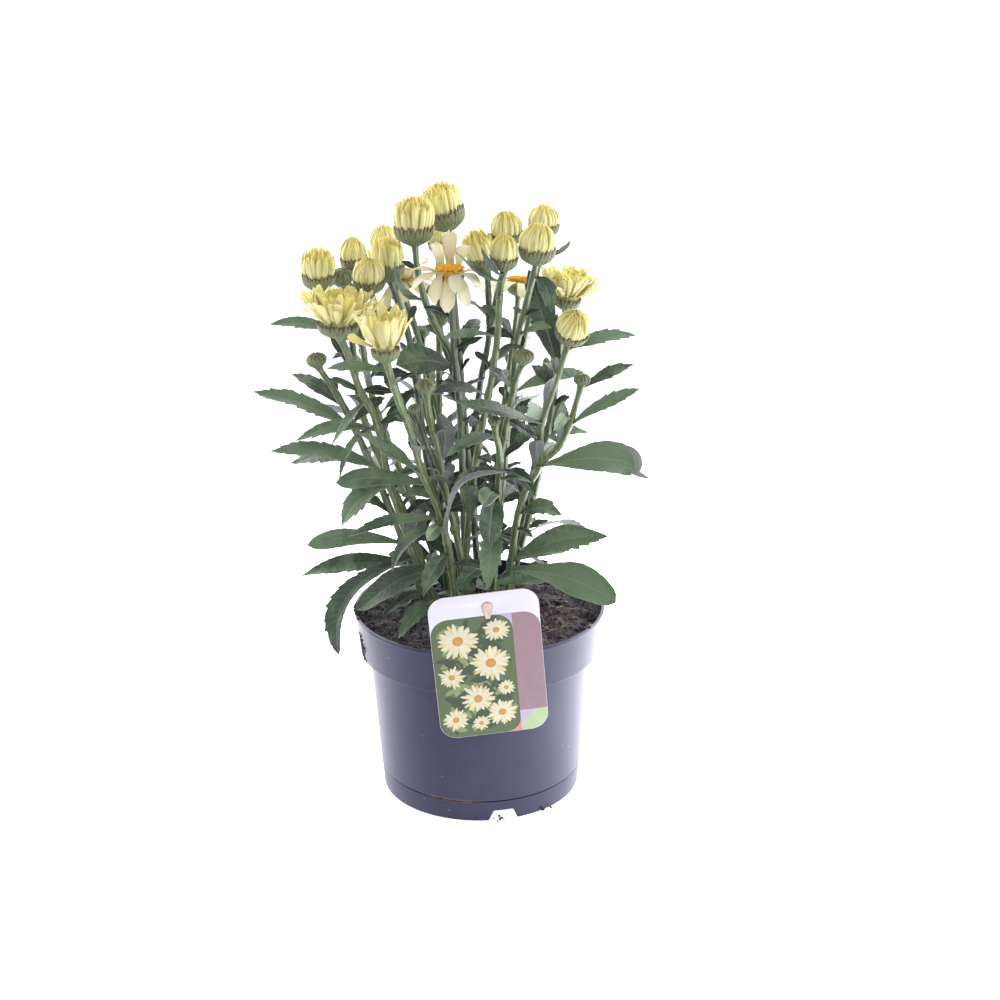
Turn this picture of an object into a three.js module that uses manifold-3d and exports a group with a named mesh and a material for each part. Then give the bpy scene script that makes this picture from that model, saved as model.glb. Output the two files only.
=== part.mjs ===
// Potted shasta daisy with cream flowers: twenty-one leafy stems in a filled nursery pot, with its
// plant label. Millimetres, +Z up, origin at the middle of the pot's underside. The label hangs
// over the front rim, which faces -Y.
import * as THREE from 'three';
import { mergeVertices } from 'three/addons/utils/BufferGeometryUtils.js';
import Module from 'manifold-3d';

const wasm = await Module();
wasm.setup();

// Driving dimensions of the pot
const POT_HEIGHT = 144;
const RIM_RADIUS = 95;
const LIP_HEIGHT = 2.4;
const LIP_PROUD = 0.8;
const BAND_HEIGHT = 33.5;
const BAND_FOOT_RADIUS = 90.7;
const BODY_TOP_RADIUS = 84;
const STEP_RADIUS = 77;
const FOOT_RADIUS = 75.4;
const STEP_HEIGHT = 16.6;
const STEP_DEPTH = 0.5;
const POT_WALL = 1.5;
const FLOOR_UNDERSIDE = 9.5;
const PAD_RADIUS = 12;
const PAD_FLARE = 4;
const FOOT_TAPER = 0.8;
const NOTCH_COUNT = 3;
const NOTCH_WIDTH = 24;
const NOTCH_TOP_WIDTH = 15;
const NOTCH_HEIGHT = 8.5;
const FIRST_NOTCH = -77.5;
const DRAIN_COUNT = 6;
const DRAIN_RADIUS = 6;
const DRAIN_CIRCLE = 50;
const POT_SIDES = 24;

// Driving dimensions of the soil
const SOIL_EDGE = 133;
const SOIL_CROWN = 136;
const SOIL_WAVES = [[1.2, 0.13, 0.05], [0.8, -0.08, 0.21], [0.6, 0.31, 0.27]];
const SOIL_RINGS = [0.92, 0.64, 0.3];
const HOLE_BOTTOM = 118;
const HOLE_TOP = 158;
const GAP = 0.35;

// Driving dimensions of the label, and of the stake whose peg it hangs on
const CARD_WIDTH = 79;
const CARD_HEIGHT = 118;
const CARD_CORNER = 13;
const CARD_THICKNESS = 0.8;
const CARD_TURN = 5;
const CARD_LEAN = 7.3;
const CARD_ROLL = 5;
const CARD_SHIFT = -2;
const CARD_MIDDLE = 137;
const PEG_RADIUS = 3.5;
const PEG_DROP = 9.5;
const PEG_BELOW_EDGE = 11;
const PEG_ASIDE = 2.6;
const PEG_PROUD = 1;
const STAKE_WIDTH = 9;
const STAKE_THICKNESS = 2;
const STAKE_FOOT = [-74, 96];
const STAKE_BEND_HEIGHT = 166;
const STAKE_TOP = 191;

// Driving dimensions of the plant
const STEM_RADIUS = 2.6;
const FORK_RADIUS = 2.4;
const STEM_TIP_RADIUS = 2;
const STEM_SIDES = 5;
const RING_STEP = 18;
const LEAF_THICKNESS = 1.2;
const LEAF_FOLD = 0.24;
const LEAF_FACING = 38;
const LEAF_BREADTH = 1.15;
const LEAF_TWIST = 0.5;
const NARROW_LEAF = 9.5;
const LONG_BASED_LEAF = 17;
const BACK_FROM = 36;
const TEETH = 2;
const TOOTH_PROUD = 1.08;
const TOOTH_BITE = 0.8;
const PETAL_THICKNESS = 1;
const PETAL_FOLD = 0.12;
const BRACT_ZIGZAG = 1.3;
const RIB = 0.055;
const BASE_HEIGHT = 2.6;
const PETAL_ROOT = 2;
const STEEP = 40;
const PLANT_SEED = 20;

// Room kept round what has grown, and over the pot, the soil and the label
const LEAF_ROOM = 2.2;
const STEM_ROOM = 3.2;
const LEAF_OVER = 4;
const LABEL_MIDDLE = 5;
const LABEL_ROOM = 48;
const LABEL_NEAR = 84;
const LABEL_OVER = 202;

const COLOURS = {
  pot: 0x50506b,
  soil: 0x33261f,
  card: 0xf4f2f3,
  stake: 0xd9c3a6,
  stem: 0x4c7344,
  petals: 0xeee7a0,
  disc: 0xe2a21c,
};

const UP = new THREE.Vector3(0, 0, 1);
const radians = THREE.MathUtils.degToRad;
const point = (list) => new THREE.Vector3(...list);
const object = new THREE.Group();

// Numbers spread evenly from 0 to 1, the same each time for the same seed
function randomFrom(seed) {
  let state = seed >>> 0;
  return () => {
    state = (state + 0x6d2b79f5) >>> 0;
    let mixed = Math.imul(state ^ (state >>> 15), state | 1);
    mixed ^= mixed + Math.imul(mixed ^ (mixed >>> 7), mixed | 61);
    return ((mixed ^ (mixed >>> 14)) >>> 0) / 4294967296;
  };
}

function toSolid(geometry) {
  const bare = geometry.clone();
  bare.deleteAttribute('normal');
  bare.deleteAttribute('uv');
  const merged = mergeVertices(bare, 1e-4);
  const corners = [];
  for (let i = 0; i < merged.index.count; i += 3) {
    const [a, b, c] = [0, 1, 2].map((k) => merged.index.getX(i + k));
    if (a !== b && b !== c && c !== a) corners.push(a, b, c);
  }
  return new wasm.Manifold(new wasm.Mesh({
    numProp: 3,
    vertProperties: new Float32Array(merged.attributes.position.array),
    triVerts: new Uint32Array(corners),
  }));
}

function toGeometry(solid) {
  const mesh = solid.getMesh();
  const geometry = new THREE.BufferGeometry();
  geometry.setAttribute('position', new THREE.BufferAttribute(mesh.vertProperties, 3));
  geometry.setIndex(new THREE.BufferAttribute(mesh.triVerts, 1));
  geometry.computeVertexNormals();
  return geometry;
}

const fuse = (geometries) => geometries.map(toSolid).reduce((whole, next) => whole.add(next));

function addMesh(name, geometry, colour, roughness) {
  const material = new THREE.MeshStandardMaterial({ color: colour, roughness, metalness: 0 });
  const mesh = new THREE.Mesh(geometry, material);
  mesh.name = name;
  object.add(mesh);
  return mesh;
}

// A closed skin over a row of rings with the same number of points each. A ring is closed off by
// a fan round a middle point where one is given, and otherwise round its own first point. On a
// thin blade the quads of the under half are split the other way, like those above them.
function loft(rings, { firstMiddle, lastMiddle, blade = false } = {}) {
  const count = rings[0].length;
  const points = rings.flat();
  const faces = [];
  for (let k = 0; k + 1 < rings.length; k += 1) {
    for (let j = 0; j < count; j += 1) {
      const a = k * count + j;
      const b = k * count + ((j + 1) % count);
      const [c, d] = [a + count, b + count];
      if (blade && j >= count / 2) faces.push(a, b, c, b, d, c);
      else faces.push(a, b, d, a, d, c);
    }
  }
  const last = (rings.length - 1) * count;
  const firstHub = firstMiddle ? points.push(firstMiddle) - 1 : 0;
  const lastHub = lastMiddle ? points.push(lastMiddle) - 1 : last;
  for (let j = 0; j < count; j += 1) {
    const next = (j + 1) % count;
    if (firstHub || (j > 0 && next > 0)) faces.push(firstHub, next, j);
    if (lastHub > last || (j > 0 && next > 0)) faces.push(lastHub, last + j, last + next);
  }
  const geometry = new THREE.BufferGeometry();
  const positions = points.flatMap((p) => [p.x, p.y, p.z]);
  geometry.setAttribute('position', new THREE.Float32BufferAttribute(positions, 3));
  geometry.setIndex(faces);
  return geometry;
}

// Pot: one thin moulding, with a collar band under its rim, a groove and a notched foot
function potProfile() {
  const bandFoot = POT_HEIGHT - BAND_HEIGHT;
  const lipFoot = POT_HEIGHT - LIP_HEIGHT;
  const floor = FLOOR_UNDERSIDE + POT_WALL;
  return [
    [0, 0],
    [PAD_RADIUS, 0],
    [PAD_RADIUS + PAD_FLARE, FLOOR_UNDERSIDE],
    [FOOT_RADIUS - POT_WALL, FLOOR_UNDERSIDE],
    [FOOT_RADIUS - POT_WALL - FOOT_TAPER, 0],
    [FOOT_RADIUS, 0],
    [STEP_RADIUS - STEP_DEPTH, STEP_HEIGHT],
    [STEP_RADIUS, STEP_HEIGHT + 0.6],
    [BODY_TOP_RADIUS, bandFoot],
    [BAND_FOOT_RADIUS, bandFoot],
    [RIM_RADIUS - LIP_PROUD, lipFoot],
    [RIM_RADIUS, lipFoot + 0.4],
    [RIM_RADIUS, POT_HEIGHT],
    [RIM_RADIUS - LIP_PROUD - POT_WALL, POT_HEIGHT],
    [BAND_FOOT_RADIUS - POT_WALL, bandFoot + POT_WALL],
    [BODY_TOP_RADIUS - POT_WALL, bandFoot + POT_WALL],
    [FOOT_RADIUS - POT_WALL + 1, floor],
    [PAD_RADIUS + PAD_FLARE - 1, floor],
    [PAD_RADIUS - 1, POT_WALL],
    [0, POT_WALL],
  ].map(([radius, height]) => new THREE.Vector2(radius, height));
}

function makePot() {
  const lathe = new THREE.LatheGeometry(potProfile(), POT_SIDES);
  let pot = toSolid(lathe.rotateX(Math.PI / 2));
  const notch = new THREE.Shape([
    new THREE.Vector2(-NOTCH_WIDTH / 2, -1),
    new THREE.Vector2(NOTCH_WIDTH / 2, -1),
    new THREE.Vector2(NOTCH_TOP_WIDTH / 2, NOTCH_HEIGHT),
    new THREE.Vector2(-NOTCH_TOP_WIDTH / 2, NOTCH_HEIGHT),
  ]);
  for (let i = 0; i < NOTCH_COUNT; i += 1) {
    const turn = radians(FIRST_NOTCH + (i * 360) / NOTCH_COUNT);
    const cutter = new THREE.ExtrudeGeometry(notch, { depth: 20, bevelEnabled: false });
    cutter.rotateX(Math.PI / 2).translate(0, FOOT_RADIUS + 8, 0).rotateZ(turn - Math.PI / 2);
    pot = pot.subtract(toSolid(cutter));
  }
  for (let i = 0; i < DRAIN_COUNT; i += 1) {
    const turn = radians(FIRST_NOTCH + ((i + 0.5) * 360) / DRAIN_COUNT);
    const drain = new THREE.CylinderGeometry(DRAIN_RADIUS, DRAIN_RADIUS, 6, 6);
    drain.rotateX(Math.PI / 2).translate(DRAIN_CIRCLE, 0, FLOOR_UNDERSIDE).rotateZ(turn);
    pot = pot.subtract(toSolid(drain));
  }
  addMesh('pot', toGeometry(pot), COLOURS.pot, 0.45);
}

// Soil: a plug of peat that fills the pot, with plain holes for the stems and the stake
function soilHeight(x, y) {
  const out = Math.hypot(x, y) / RIM_RADIUS;
  const relief = SOIL_WAVES.map(([height, alongX, alongY]) => height * Math.sin(x * alongX + y * alongY));
  return relief.reduce((sum, wave) => sum + wave, SOIL_CROWN + (SOIL_EDGE - SOIL_CROWN) * out * out);
}

function makeSoil(holes) {
  const circle = (radius, height) => Array.from({ length: POT_SIDES }, (_, i) => {
    const turn = (i * 2 * Math.PI) / POT_SIDES;
    const [x, y] = [radius * Math.cos(turn), radius * Math.sin(turn)];
    return new THREE.Vector3(x, y, height ?? soilHeight(x, y));
  });
  const bandFoot = POT_HEIGHT - BAND_HEIGHT + POT_WALL + GAP;
  const bandSlope = (RIM_RADIUS - LIP_PROUD - BAND_FOOT_RADIUS) / (BAND_HEIGHT - POT_WALL);
  const edge = BAND_FOOT_RADIUS - POT_WALL - GAP + (SOIL_EDGE - 1 - bandFoot) * bandSlope;
  const rings = [
    circle(FOOT_RADIUS - POT_WALL + 1 - GAP, FLOOR_UNDERSIDE + POT_WALL + GAP),
    circle(BODY_TOP_RADIUS - POT_WALL - GAP, bandFoot),
    circle(BAND_FOOT_RADIUS - POT_WALL - GAP, bandFoot),
    circle(edge, SOIL_EDGE - 1),
    ...SOIL_RINGS.map((share) => circle(edge * share)),
  ];
  const middle = new THREE.Vector3(0, 0, soilHeight(0, 0));
  const soil = holes.reduce((rest, hole) => rest.subtract(hole), toSolid(loft(rings, {
    firstMiddle: new THREE.Vector3(0, 0, FLOOR_UNDERSIDE + POT_WALL + GAP),
    lastMiddle: middle,
  })));
  addMesh('soil', toGeometry(soil), COLOURS.soil, 1);
}

function stemHole([x, y]) {
  const radius = (STEM_RADIUS + GAP) / Math.cos(Math.PI / STEM_SIDES);
  const depth = HOLE_TOP - HOLE_BOTTOM + GAP;
  const hole = new THREE.CylinderGeometry(radius, radius, depth, STEM_SIDES);
  hole.rotateX(Math.PI / 2).translate(x, y, HOLE_TOP - depth / 2);
  return toSolid(hole);
}

// Label: a stiff card that leans on the rim, and the stake behind it whose peg goes through it
const cardBack = (height) => -(RIM_RADIUS + GAP)
  - (height - POT_HEIGHT + LIP_HEIGHT) * Math.tan(radians(CARD_LEAN));

function traceDrop(path, radius, drop) {
  path.absarc(0, 0, radius, -0.35, Math.PI + 0.35, false);
  path.lineTo(-radius * 0.45, -drop);
  path.lineTo(radius * 0.45, -drop);
  path.closePath();
  return path;
}

function standInCardPlane(geometry) {
  geometry.rotateZ(radians(CARD_ROLL)).rotateX(radians(90 + CARD_LEAN));
  return geometry.translate(CARD_SHIFT, cardBack(CARD_MIDDLE), CARD_MIDDLE);
}

function makeLabel() {
  const [right, top] = [CARD_WIDTH / 2, CARD_HEIGHT / 2];
  const outline = new THREE.Shape();
  outline.absarc(right - CARD_CORNER, top - CARD_CORNER, CARD_CORNER, 0, Math.PI / 2, false);
  outline.absarc(CARD_CORNER - right, top - CARD_CORNER, CARD_CORNER, Math.PI / 2, Math.PI, false);
  outline.absarc(CARD_CORNER - right, CARD_CORNER - top, CARD_CORNER, Math.PI, -Math.PI / 2, false);
  outline.absarc(right - CARD_CORNER, CARD_CORNER - top, CARD_CORNER, -Math.PI / 2, 0, false);
  const pegHeight = top - PEG_BELOW_EDGE;
  const hole = traceDrop(new THREE.Path(), PEG_RADIUS + GAP, PEG_DROP + GAP);
  outline.holes.push(new THREE.Path(hole.getPoints(5).map(
    (p) => new THREE.Vector2(p.x + PEG_ASIDE, p.y + pegHeight),
  )));
  const flat = { bevelEnabled: false, curveSegments: 4 };
  const card = new THREE.ExtrudeGeometry(outline, { ...flat, depth: CARD_THICKNESS });

  const pegTop = new THREE.ExtrudeGeometry(
    traceDrop(new THREE.Shape(), PEG_RADIUS, PEG_DROP),
    { ...flat, depth: CARD_THICKNESS + PEG_PROUD + 3 * GAP },
  );
  standInCardPlane(pegTop.translate(PEG_ASIDE, pegHeight, -3 * GAP));
  pegTop.computeBoundingBox();
  const pegMiddle = pegTop.boundingBox.getCenter(new THREE.Vector3()).x;

  const turn = radians(CARD_TURN);
  const stake = fuse([stakeStrip(pegMiddle, 0), pegTop]);
  addMesh('label_card', standInCardPlane(card), COLOURS.card, 0.35).rotation.z = turn;
  addMesh('label_stake', toGeometry(stake), COLOURS.stake, 0.6).rotation.z = turn;
  return toSolid(stakeStrip(pegMiddle, GAP).rotateZ(turn));
}

// The stake's strip, or the slot it stands in where it is grown by a gap all round
function stakeStrip(middle, grow) {
  const behind = GAP + STAKE_THICKNESS / 2;
  const line = [
    [STAKE_FOOT[0], STAKE_FOOT[1] - grow],
    [cardBack(STAKE_BEND_HEIGHT) + behind, STAKE_BEND_HEIGHT],
    [cardBack(STAKE_TOP) + behind, STAKE_TOP],
  ];
  const half = STAKE_THICKNESS / 2 + grow;
  const offset = (shift) => line.map(([y, z]) => new THREE.Vector2(y + shift, z));
  const side = new THREE.Shape([...offset(-half), ...offset(half).reverse()]);
  const width = STAKE_WIDTH + 2 * grow;
  const strip = new THREE.ExtrudeGeometry(side, { depth: width, bevelEnabled: false });
  strip.applyMatrix4(new THREE.Matrix4().makeBasis(
    new THREE.Vector3(0, 1, 0),
    UP,
    new THREE.Vector3(1, 0, 0),
  ));
  return strip.translate(middle - width / 2, 0, 0);
}

// Shoots: each runs through its points to the head that ends it. A stem's first shoot starts from
// its foot in the soil, and its others fork off it. A leaf is given by the height where it grows,
// its tip, how far its rib's control point lies off the straight line, its width, and a roundness.
const STEMS = [
  {
    name: 'stem_top_left',
    foot: [-10, 12],
    shoots: [
      {
        path: [[-11, 9, 200], [-12, 2, 262], [-13, -6, 307], [-17, -10, 341], [-27, -13, 361],
          [-35, -14, 380], [-41, -15, 405], [-43, -15, 427]],
        head: { kind: 'brush', radius: 14.2, cup: 12, height: 18.5, lean: [0, -0.05, 1] },
        leaves: [[334, [-57, -38, 344], [0, 0, 8], 26], [385, [-57, -20, 414], [-12, 0, -12], 10]],
      },
      {
        path: [[-13, -6, 307], [-16, -19, 340], [-17, -29, 374], [-18, -35, 401]],
        head: { kind: 'daisy', radius: 12, cup: 7, petal: 10.5, lean: [0, 0.06, 1],
          petals: [[-94, -76, 31], [-126, -64, 25], [-62, -60, 28], [-150, -22, 24], [-34, -30, 18],
            [178, 2, 20], [0, -14, 13], [92, 80, 34], [122, 58, 22], [60, 56, 20], [-78, -46, 16]] },
        leaves: [],
      },
    ],
  },
  {
    name: 'stem_top',
    foot: [2, 24],
    shoots: [
      {
        path: [[-3, 24, 190], [-7, 24, 244], [-11, 22, 300], [-15, 21, 361], [-18, 20, 400],
          [-19, 20, 430]],
        head: { kind: 'brush', radius: 14.6, cup: 13, height: 18, lean: [-0.28, 0, 1] },
        leaves: [[330, [2, 66, 350], [0, 0, 10], 11]],
      },
      {
        path: [[-11, 22, 300], [-22, 16, 338], [-28, 10, 361]],
        head: { kind: 'green', radius: 7.2, cup: 9, lean: [0, -0.3, 1] },
        leaves: [],
      },
    ],
  },
  {
    name: 'stem_centre_right',
    foot: [-12, -4],
    shoots: [
      {
        path: [[-10, -6, 180], [-6, -9, 230], [3, -14, 289], [11, -19, 331], [15, -23, 362],
          [17, -27, 395], [20, -30, 411]],
        head: { kind: 'bud', radius: 9.6, cup: 9, height: 14.5, lean: [0, -0.1, 1] },
        leaves: [[406, [4, -50, 438], [-4, -6, -6], 9], [402, [-14, -50, 428], [4, -8, -10], 9],
          [360, [-24, -48, 366], [0, 0, 6], 7], [314, [-30, -46, 325], [0, 0, 10], 12],
          [244, [-5, -46, 228], [-4, -4, 16], 12]],
      },
    ],
  },
  {
    name: 'stem_dark',
    foot: [-1, 36],
    shoots: [
      {
        path: [[-4, 35, 242], [2, 33, 306], [9, 31, 345], [9, 30, 375], [8, 30, 397]],
        head: { kind: 'brush', radius: 11.5, cup: 10, height: 18, lean: [-0.3, -0.1, 1] },
        leaves: [[360, [-11, 16, 378], [0, 0, 6], 8]],
      },
      {
        path: [[9, 31, 345], [16, 32, 379], [22, 34, 402], [24, 36, 414]],
        head: { kind: 'bud', radius: 11.6, cup: 9, height: 15, lean: [-0.1, -0.1, 1] },
        leaves: [],
      },
    ],
  },
  {
    name: 'stem_right_tall',
    foot: [13, 33],
    shoots: [
      {
        path: [[11, 33, 192], [21, 34, 264], [32, 37, 326], [40, 38, 361], [46, 39, 400],
          [50, 40, 419]],
        head: { kind: 'bud', radius: 11.4, cup: 8.5, height: 13.5, lean: [0, 0, 1] },
        leaves: [[404, [69, 36, 416], [8, 0, -6], 7], [208, [35, 100, 209], [0, 0, 18], 14],
          [300, [84, 64, 306], [0, 0, 12], 11]],
      },
    ],
  },
  {
    name: 'stem_right',
    foot: [5, 10],
    shoots: [
      {
        path: [[6, 12, 159], [15, 7, 210], [22, -3, 285], [26, -7, 317], [29, -11, 353],
          [34, -14, 375], [41, -19, 405], [43, -20, 413]],
        head: { kind: 'bud', radius: 13, cup: 11, height: 16, lean: [0.05, -0.1, 1] },
        leaves: [[402, [53, -28, 378], [6, 0, 10], 11], [357, [58, -24, 366], [0, 0, 6], 8],
          [250, [42, -24, 240], [0, 0, 12], 11]],
      },
    ],
  },
  {
    name: 'stem_far_right',
    foot: [20, 2],
    shoots: [
      {
        path: [[24, 5, 176], [29, 0, 214], [35, -4, 236], [46, -8, 260], [46, -13, 288],
          [55, -19, 320], [64, -24, 350], [67, -25, 358]],
        head: { kind: 'bud', radius: 12.4, cup: 10, height: 14.5, lean: [0.15, -0.55, 1] },
        leaves: [[349, [112, -22, 368], [0, 0, 8], 10], [334, [38, 4, 402], [0, 8, 0], 18],
          [292, [-23, -58, 326], [4, -20, 6], 14], [256, [125, -28, 262], [4, 0, 14], 24, 'round'],
          [216, [62, -12, 220], [0, 0, 12], 14], [176, [97, 0, 198], [0, 0, 14], 19],
          [170, [101, -36, 159], [6, 0, 14], 23, 'round']],
      },
      {
        path: [[46, -8, 260], [58, -7, 270], [66, -6, 284], [73, -7, 308], [76, -8, 320]],
        head: { kind: 'green', radius: 5.8, cup: 7, lean: [0.1, -0.2, 1] },
        leaves: [[287, [118, -12, 317], [0, 0, 6], 10], [315, [114, 0, 332], [0, 0, 5], 9],
          [271, [62, -14, 308], [4, 0, 0], 10]],
      },
    ],
  },
  {
    name: 'stem_left',
    foot: [-30, -2],
    shoots: [
      {
        path: [[-39, -8, 165], [-51, -14, 198], [-60, -19, 231], [-66, -23, 254], [-69, -28, 282],
          [-75, -33, 307], [-84, -37, 328], [-91, -40, 352], [-97, -42, 367]],
        head: { kind: 'half', radius: 14.5, cup: 9, height: 21, petal: 8, reach: 26, layers: [11, 6],
          lean: [0.05, 0, 1] },
        leaves: [[292, [-131, -34, 287], [0, 0, 14], 10], [258, [-149, -36, 280], [0, 0, 16], 13],
          [297, [-99, -54, 264], [-8, -6, 16], 5], [247, [-100, -32, 221], [-6, 0, 14], 15],
          [188, [-105, -42, 122], [-40, -10, 24], 14], [158, [-72, -44, 153], [0, 0, 10], 8],
          [151, [-60, -58, 150], [0, 0, 10], 11], [322, [-106, -36, 334], [0, 0, 4], 6],
          [316, [-104, -46, 288], [0, 0, 8], 6]],
      },
    ],
  },
  {
    name: 'stem_front_left',
    foot: [-17, -14],
    shoots: [
      {
        path: [[-23, -28, 203], [-30, -38, 238], [-39, -47, 264], [-43, -52, 280],
          [-48, -60, 303], [-57, -72, 335], [-62, -80, 359]],
        head: { kind: 'half', radius: 9.6, cup: 8.5, height: 18, petal: 7.5, lean: [-0.05, 0, 1],
          petals: [[-92, 82, 20], [-50, 74, 22], [-12, 66, 22], [28, 72, 24], [64, 78, 26],
            [96, 80, 27], [126, 74, 25], [158, 66, 24], [-134, 72, 22], [-172, 36, 26]] },
        leaves: [[350, [-103, -74, 352], [0, 0, 5], 8], [262, [-84, -64, 302], [0, 0, 4], 14],
          [255, [-102, -46, 259], [0, 0, 10], 14, 'round'], [226, [-94, -58, 222], [0, 0, 12], 9],
          [220, [-63, -64, 197], [-10, -8, 18], 9], [182, [-89, -63, 167], [0, 0, 18], 18, 'round'],
          [196, [-41, -62, 177], [0, -4, 14], 12], [206, [13, -56, 279], [-24, -8, 34], 19]],
      },
    ],
  },
  {
    name: 'stem_front_buds',
    foot: [-8, -13],
    shoots: [
      {
        path: [[-12, -16, 180], [-18, -22, 215], [-24, -30, 246], [-29, -42, 285],
          [-33, -50, 305], [-36, -58, 331]],
        head: { kind: 'green', radius: 6.4, cup: 8, lean: [0, -0.4, 1] },
        leaves: [[270, [-27, -50, 312], [8, 0, 0], 13]],
      },
      {
        path: [[-24, -30, 246], [-32, -39, 272], [-40, -49, 300], [-44, -54, 314]],
        head: { kind: 'green', radius: 4, cup: 5.5, lean: [-0.2, -0.3, 1] },
        leaves: [],
      },
    ],
  },
  {
    name: 'stem_left_pair',
    foot: [-23, 12],
    shoots: [
      {
        path: [[-32, 12, 220], [-40, 10, 270], [-43, 9, 304], [-49, 7, 350], [-56, 5, 376],
          [-62, 5, 396]],
        head: { kind: 'brush', radius: 11.8, cup: 10.5, height: 18, lean: [-0.1, 0, 1] },
        leaves: [[320, [-74, -6, 327], [0, 0, 6], 8], [310, [-68, -8, 290], [0, 0, 10], 8]],
      },
      {
        path: [[-40, 10, 270], [-52, 2, 294], [-61, -5, 322], [-67, -10, 348], [-71, -13, 377],
          [-75, -15, 392]],
        head: { kind: 'bud', radius: 11.3, cup: 9.5, height: 14.5, lean: [-0.05, -0.15, 1] },
        leaves: [],
      },
    ],
  },
  {
    name: 'stem_outer_left',
    foot: [-36, 16],
    shoots: [
      {
        path: [[-52, 20, 200], [-70, 20, 245], [-84, 20, 284], [-90, 20, 318], [-96, 20, 340],
          [-106, 20, 362], [-114, 20, 386]],
        head: { kind: 'brush', radius: 12.3, cup: 11, height: 17, lean: [0, -0.05, 1] },
        leaves: [[352, [-152, 30, 357], [0, 0, 8], 10], [168, [-136, 22, 160], [0, 0, 14], 14]],
      },
      {
        path: [[-90, 20, 318], [-92, 26, 345], [-97, 33, 370], [-99, 36, 385]],
        head: { kind: 'green', radius: 7.7, cup: 12, lean: [0.1, -0.3, 1] },
        leaves: [],
      },
    ],
  },
  {
    name: 'stem_back_left',
    foot: [-24, 30],
    shoots: [
      {
        path: [[-50, 36, 215], [-68, 40, 262], [-80, 43, 300], [-86, 46, 340], [-89, 49, 370],
          [-90, 50, 392]],
        head: { kind: 'bud', radius: 9.8, cup: 10, height: 14, lean: [-0.05, 0, 1] },
        leaves: [[215, [-99, 84, 221], [0, 0, 14], 14], [268, [-128, 72, 280], [0, 0, 10], 12],
          [318, [-120, 92, 334], [0, 0, 8], 10]],
      },
    ],
  },
  {
    name: 'stem_back_centre',
    foot: [-10, 32],
    shoots: [
      {
        path: [[-22, 42, 215], [-36, 47, 270], [-49, 53, 330], [-58, 57, 368], [-65, 60, 399]],
        head: { kind: 'bud', radius: 10.8, cup: 9.5, height: 14.5, lean: [-0.2, 0.1, 1] },
        leaves: [[222, [-58, 102, 226], [0, 0, 18], 14], [290, [-84, 104, 300], [0, 0, 12], 12]],
      },
    ],
  },
  {
    name: 'stem_right_half_open',
    foot: [22, 20],
    shoots: [
      {
        path: [[38, 24, 205], [52, 26, 270], [59, 27, 313], [63, 29, 351], [66, 30, 367]],
        head: { kind: 'half', radius: 10, cup: 8, height: 15, petal: 7.5, reach: 23, layers: [9, 4],
          lean: [0.15, 0, 1] },
        leaves: [[270, [84, 40, 267], [0, 0, 6], 8]],
      },
    ],
  },
  {
    name: 'stem_left_bud',
    foot: [-41, 3],
    shoots: [
      {
        path: [[-58, -2, 200], [-78, -8, 258], [-92, -13, 295], [-103, -17, 320],
          [-110, -20, 332], [-114, -20, 339]],
        head: { kind: 'green', radius: 7, cup: 9, lean: [-0.15, -0.1, 1] },
        leaves: [[288, [-160, -26, 322], [0, 0, 10], 15], [304, [-139, 6, 324], [0, 0, 8], 10],
          [262, [-140, 14, 254], [0, 0, 12], 13], [194, [-128, -6, 196], [0, 0, 11], 13, 'round'],
          [334, [-121, -22, 352], [-4, 0, 0], 6],
        ],
      },
    ],
  },
  {
    name: 'stem_centre_buds',
    foot: [10, -6],
    shoots: [
      {
        path: [[12, -10, 200], [16, -18, 261], [22, -24, 302], [28, -36, 333], [33, -42, 346]],
        head: { kind: 'green', radius: 7.2, cup: 9, lean: [0.05, -0.1, 1] },
        leaves: [[282, [-28, -58, 284], [0, 0, 14], 9], [238, [-7, -52, 240], [0, 0, 10], 14, 'round'],
          [232, [2, -54, 220], [-2, -4, 22], 16, 'round'], [214, [6, -50, 176], [0, -14, 18], 15],
          [180, [-17, -48, 174], [0, 0, 12], 12]],
      },
      {
        path: [[16, -18, 261], [15, -30, 280], [13, -42, 292], [12, -47, 302]],
        head: { kind: 'green', radius: 4.3, cup: 6, lean: [0, -0.2, 1] },
        leaves: [],
      },
    ],
  },
  {
    name: 'stem_pale',
    foot: [-13, 22],
    shoots: [
      {
        path: [[-20, 26, 230], [-29, 28, 286], [-42, 32, 340], [-50, 36, 366], [-54, 35, 382]],
        head: { kind: 'daisy', radius: 11, cup: 7, petal: 8.5, reach: 26, layers: [12],
          lean: [-0.1, -0.2, 1] },
        leaves: [],
      },
      {
        path: [[-29, 28, 286], [-28, 38, 335], [-27, 46, 380], [-28, 50, 406]],
        head: { kind: 'bud', radius: 6.8, cup: 7, height: 9, lean: [0, 0, 1] },
        leaves: [],
      },
    ],
  },
  {
    name: 'stem_back_daisy',
    foot: [6, 45],
    shoots: [
      {
        path: [[12, 51, 210], [21, 61, 287], [29, 67, 341], [32, 70, 368]],
        head: { kind: 'daisy', radius: 11, cup: 7, petal: 8.5, reach: 26, layers: [12],
          lean: [0.05, 0.15, 1] },
        leaves: [[190, [22, 112, 186], [0, 0, 20], 15], [262, [50, 116, 276], [0, 0, 12], 12]],
      },
    ],
  },
  {
    name: 'stem_back_bud_left',
    foot: [-22, 44],
    shoots: [
      {
        path: [[-30, 60, 220], [-38, 74, 290], [-42, 80, 333]],
        head: { kind: 'green', radius: 6.2, cup: 8, lean: [0, 0.2, 1] },
        leaves: [[182, [-64, 100, 172], [0, 0, 20], 14], [262, [-56, 130, 280], [0, 0, 10], 11]],
      },
    ],
  },
  {
    name: 'stem_back_bud_right',
    foot: [23, 35],
    shoots: [
      {
        path: [[40, 52, 220], [54, 65, 290], [60, 71, 328]],
        head: { kind: 'green', radius: 6, cup: 8, lean: [0.2, 0.2, 1] },
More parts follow.
